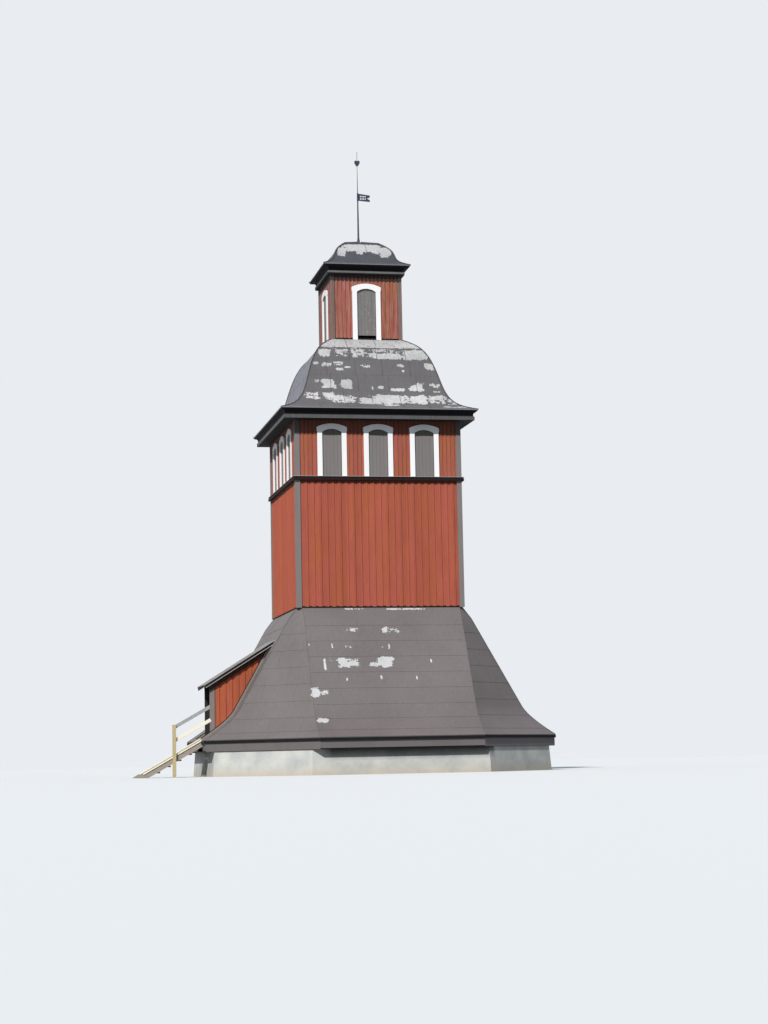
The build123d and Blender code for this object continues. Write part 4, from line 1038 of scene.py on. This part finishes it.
# Skirt's sheets on the left, round the covered stair
slot_low, slot_high = -STAIR_Y[1], -STAIR_Y[0]
for name, low_edge, high_edge, end in (
    ("far", -HIP_SIDE, slot_low, skirt_curve.length),
    ("near", slot_high, HIP_SIDE, skirt_curve.length),
    ("top", slot_low, slot_high, skirt_curve.level_way(cover_top(COVER_HEAD))),
):
    ways = [way for way in course_ways(skirt_curve, SKIRT_FIRST, COURSE) if way < end - 0.05] + [end]
    middle, half = (low_edge + high_edge) / 2, (high_edge - low_edge) / 2
    open_mesh(f"skirt_sheets_left_{name}")
    strip(course_rows(skirt_curve, ways, lambda reach: half, middle))
    close_mesh(SKIRT_SHEET, thickness=SHEET, turn=LEFT_TURN, smooth=SHEET_FOLD)

# Sheet of the stair cover, and the cover boards of its walls, trimmed to its roof and to the skirt
cover_ends = (COVER_HEAD - 0.01, COVER_TIP + COVER_LAP)
cover_curve = Profile([(reach, cover_top(reach)) for reach in cover_ends])
cover_half = (COVER_ROOF[1].y - COVER_ROOF[0].y) / 2 + COVER_LAP
ways = course_ways(cover_curve, COVER_FIRST, COURSE)
open_mesh("stair_cover_sheets")
strip(course_rows(cover_curve, ways, lambda reach: cover_half, -STAIR_MIDDLE))
close_mesh(COVER_SHEET, thickness=SHEET, turn=LEFT_TURN, smooth=SHEET_FOLD)

open_mesh("stair_cover_boards")
for face, outward in ((STAIR_Y[0], -1), (STAIR_Y[1], 1)):
    low_y, high_y = sorted((face, face + outward * BOARD_DEPTH))
    reach = COVER_MOUTH - MOUTH_CLEAR - STAIR_BOARD_HALF - 0.02
    while reach > COVER_HEAD + HEAD_CLEAR:
        block(
            (-reach - STAIR_BOARD_HALF, low_y, skirt_level(reach + STAIR_BOARD_HALF) - 0.1),
            (-reach + STAIR_BOARD_HALF, high_y, cover_under(reach - STAIR_BOARD_HALF) + 0.05),
        )
        cut((-reach, 0, cover_under(reach)), (-COVER_SLOPE, 0, 1))
        fall = skirt_level(reach - FALL_STEP) - skirt_level(reach + FALL_STEP)
        cut((-reach, 0, skirt_level(reach) - 0.02), (fall / (2 * FALL_STEP), 0, -1))
        reach -= STAIR_BOARD_PITCH
close_mesh(RED_STAIR, bevel=0.004)

# Upright flashing along the foot of the stair's walls, with a dark strip over it, painted shadow of the
# gap under the boards
under_way = skirt_curve.level_way(cover_under(COVER_HEAD))
for name, finish, lift, half, height, start in (
    ("flashing", LEAD, FOOT_FLASHING / 2, 0.004, FOOT_FLASHING, under_way + 0.25),
    # This dark strip is painted shadow of the gap between the boards and the flashing
    ("joint", DARK, FOOT_FLASHING + 0.012, 0.005, 0.024, under_way + 0.34),
):
    foot_ways = skirt_curve.ways(start, skirt_curve.length - 0.02)
    open_mesh(f"stair_foot_{name}")
    for middle in (slot_high + BOARD_DEPTH + 0.006, slot_low - BOARD_DEPTH - 0.006):
        strip([skirt_curve.at(way, lift) + (half, middle) for way in foot_ways])
    close_mesh(finish, thickness=height, turn=LEFT_TURN, smooth=SHEET_FOLD)

# Edges of the stair cover: a folded sheet on top, light grey as painted highlight of its lit edge, a black
# barge and a light board along its foot
cover_square = math.cos(math.atan(COVER_SLOPE))
cover_run = (COVER_HEAD + 0.02, COVER_TIP)
for name, finish, low, high in (
    # The fold's light grey is a painted highlight of its lit edge
    ("folds", FLASHING, -0.02, 0.018),
    ("barges", DARK, -0.1, -0.02),
    ("barge_feet", FLASHING, -BARGE_DEPTH - 0.002, -0.1),
):
    open_mesh(f"stair_cover_{name}")
    for corner in COVER_ROOF:
        across = (corner.y - BARGE_HALF, corner.y + BARGE_HALF)
        sloped_block(cover_run, cover_top, across, (low * cover_square, high * cover_square))
    close_mesh(finish, bevel=0.002)

# Lower end of the stair cover: a black board with a folded drip over it
tip_level = cover_top(COVER_TIP)
for name, finish, depth, lap, low, high in (
    ("end", DARK, 0.014, 0.008, -0.055, -0.012),
    ("drip", FLASHING, 0.022, 0.012, -0.012, 0.014),
):
    open_mesh(f"stair_cover_{name}")
    block(
        (-COVER_TIP - depth, COVER_ROOF[0].y - lap, tip_level + low),
        (-COVER_TIP + SEAT, COVER_ROOF[1].y + lap, tip_level + high),
    )
    close_mesh(finish, bevel=0.002)

# New boards nailed to the stringers and to the middle rail
stair_square = math.cos(math.atan(STAIR_SLOPE))
stringer_run = (COVER_MOUTH - 0.02, FACE_FOOT)
for name, face, depth in (("near", STAIR_Y[0], 0.024), ("far", STAIR_Y[1] - STRINGER, 0.012)):
    open_mesh(f"stringer_face_board_{name}")
    sloped_block(stringer_run, stringer_top, (face - depth, face), (-FACE_BOARD * stair_square, 0.006))
    close_mesh(FRESH, bevel=0.003)

open_mesh("middle_rail_face")
sloped_block(
    (COVER_MOUTH, -NEWEL[0].x - 0.02), lambda reach: stringer_top(reach) + MIDDLE_RAIL,
    (STAIR_Y[0] - RAIL_FACE[0], STAIR_Y[0] - RAIL_FACE[1]), (-RAIL_DEPTH * stair_square, 0.0),
)
close_mesh(FRESH, bevel=0.003)

# Stage, lights and camera
FLOOR_SIZE = 900
SUN_WAY = Vector((-0.424, -0.606, 0.673))
SUN_STRENGTH = 4.15
SUN_WIDTH = math.radians(1.5)
AMBIENT = 0.44
CAMERA_PLACE = Vector((-13.162, -67.884, 0.396))
CAMERA_YAW, CAMERA_PITCH, CAMERA_ROLL = 0.2015, 0.1198, -0.0199
FOCAL_PIXELS = 2067.3
PHOTO_HEIGHT = 1024
SENSOR = 36
bpy.ops.mesh.primitive_plane_add(size=FLOOR_SIZE, location=(0, 0, 0))
floor = bpy.context.object
floor.name = "floor"
paper = bpy.data.materials.new("pale floor, dull to the light it throws back")
paper.use_nodes = True
paper_tree = paper.node_tree
shades = {0: looked_at(paper_tree), 6: linear("#6C6D66"), 7: linear("#D9D9D6")}
tint = add(paper_tree, "Mix", shades, **LAID).outputs[2]
paper_shader = paper_tree.nodes["Principled BSDF"]
paper_tree.links.new(tint, paper_shader.inputs["Base Color"])
paper_shader.inputs["Roughness"].default_value = 0.9
floor.data.materials.append(paper)
floor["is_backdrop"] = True

bpy.ops.object.light_add(type="SUN", location=SUN_WAY * 60)
sun = bpy.context.object
sun.rotation_euler = SUN_WAY.to_track_quat("Z", "Y").to_euler()
sun.data.energy = SUN_STRENGTH
sun.data.angle = SUN_WIDTH

world = bpy.data.worlds.new("studio")
bpy.context.scene.world = world
world.use_nodes = True
around = world.node_tree
ambient = around.nodes["Background"]
ambient.inputs["Color"].default_value = linear("#C9DBF5")
ambient.inputs["Strength"].default_value = AMBIENT
backdrop = add(around, "Background", {"Color": linear("#E9EDF1")})
either = add(around, "MixShader", {0: looked_at(around), 1: ambient, 2: backdrop}).outputs[0]
around.links.new(either, around.nodes["World Output"].inputs["Surface"])

ahead = Vector((
    math.sin(CAMERA_YAW) * math.cos(CAMERA_PITCH),
    math.cos(CAMERA_YAW) * math.cos(CAMERA_PITCH),
    math.sin(CAMERA_PITCH),
))
right = Vector((math.cos(CAMERA_YAW), -math.sin(CAMERA_YAW), 0))
up = right.cross(ahead)
rolled_right = math.cos(CAMERA_ROLL) * right + math.sin(CAMERA_ROLL) * up
rolled_up = -math.sin(CAMERA_ROLL) * right + math.cos(CAMERA_ROLL) * up
bpy.ops.object.camera_add(location=CAMERA_PLACE)
camera = bpy.context.object
turned = Matrix((rolled_right, rolled_up, -ahead)).transposed().to_4x4()
camera.matrix_world = Matrix.Translation(CAMERA_PLACE) @ turned
camera.data.sensor_fit = "VERTICAL"
camera.data.sensor_height = SENSOR
camera.data.lens = FOCAL_PIXELS * SENSOR / PHOTO_HEIGHT
camera.data.clip_end = 2000
bpy.context.scene.camera = camera
bpy.context.scene.view_settings.view_transform = "Standard"

low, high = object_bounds()
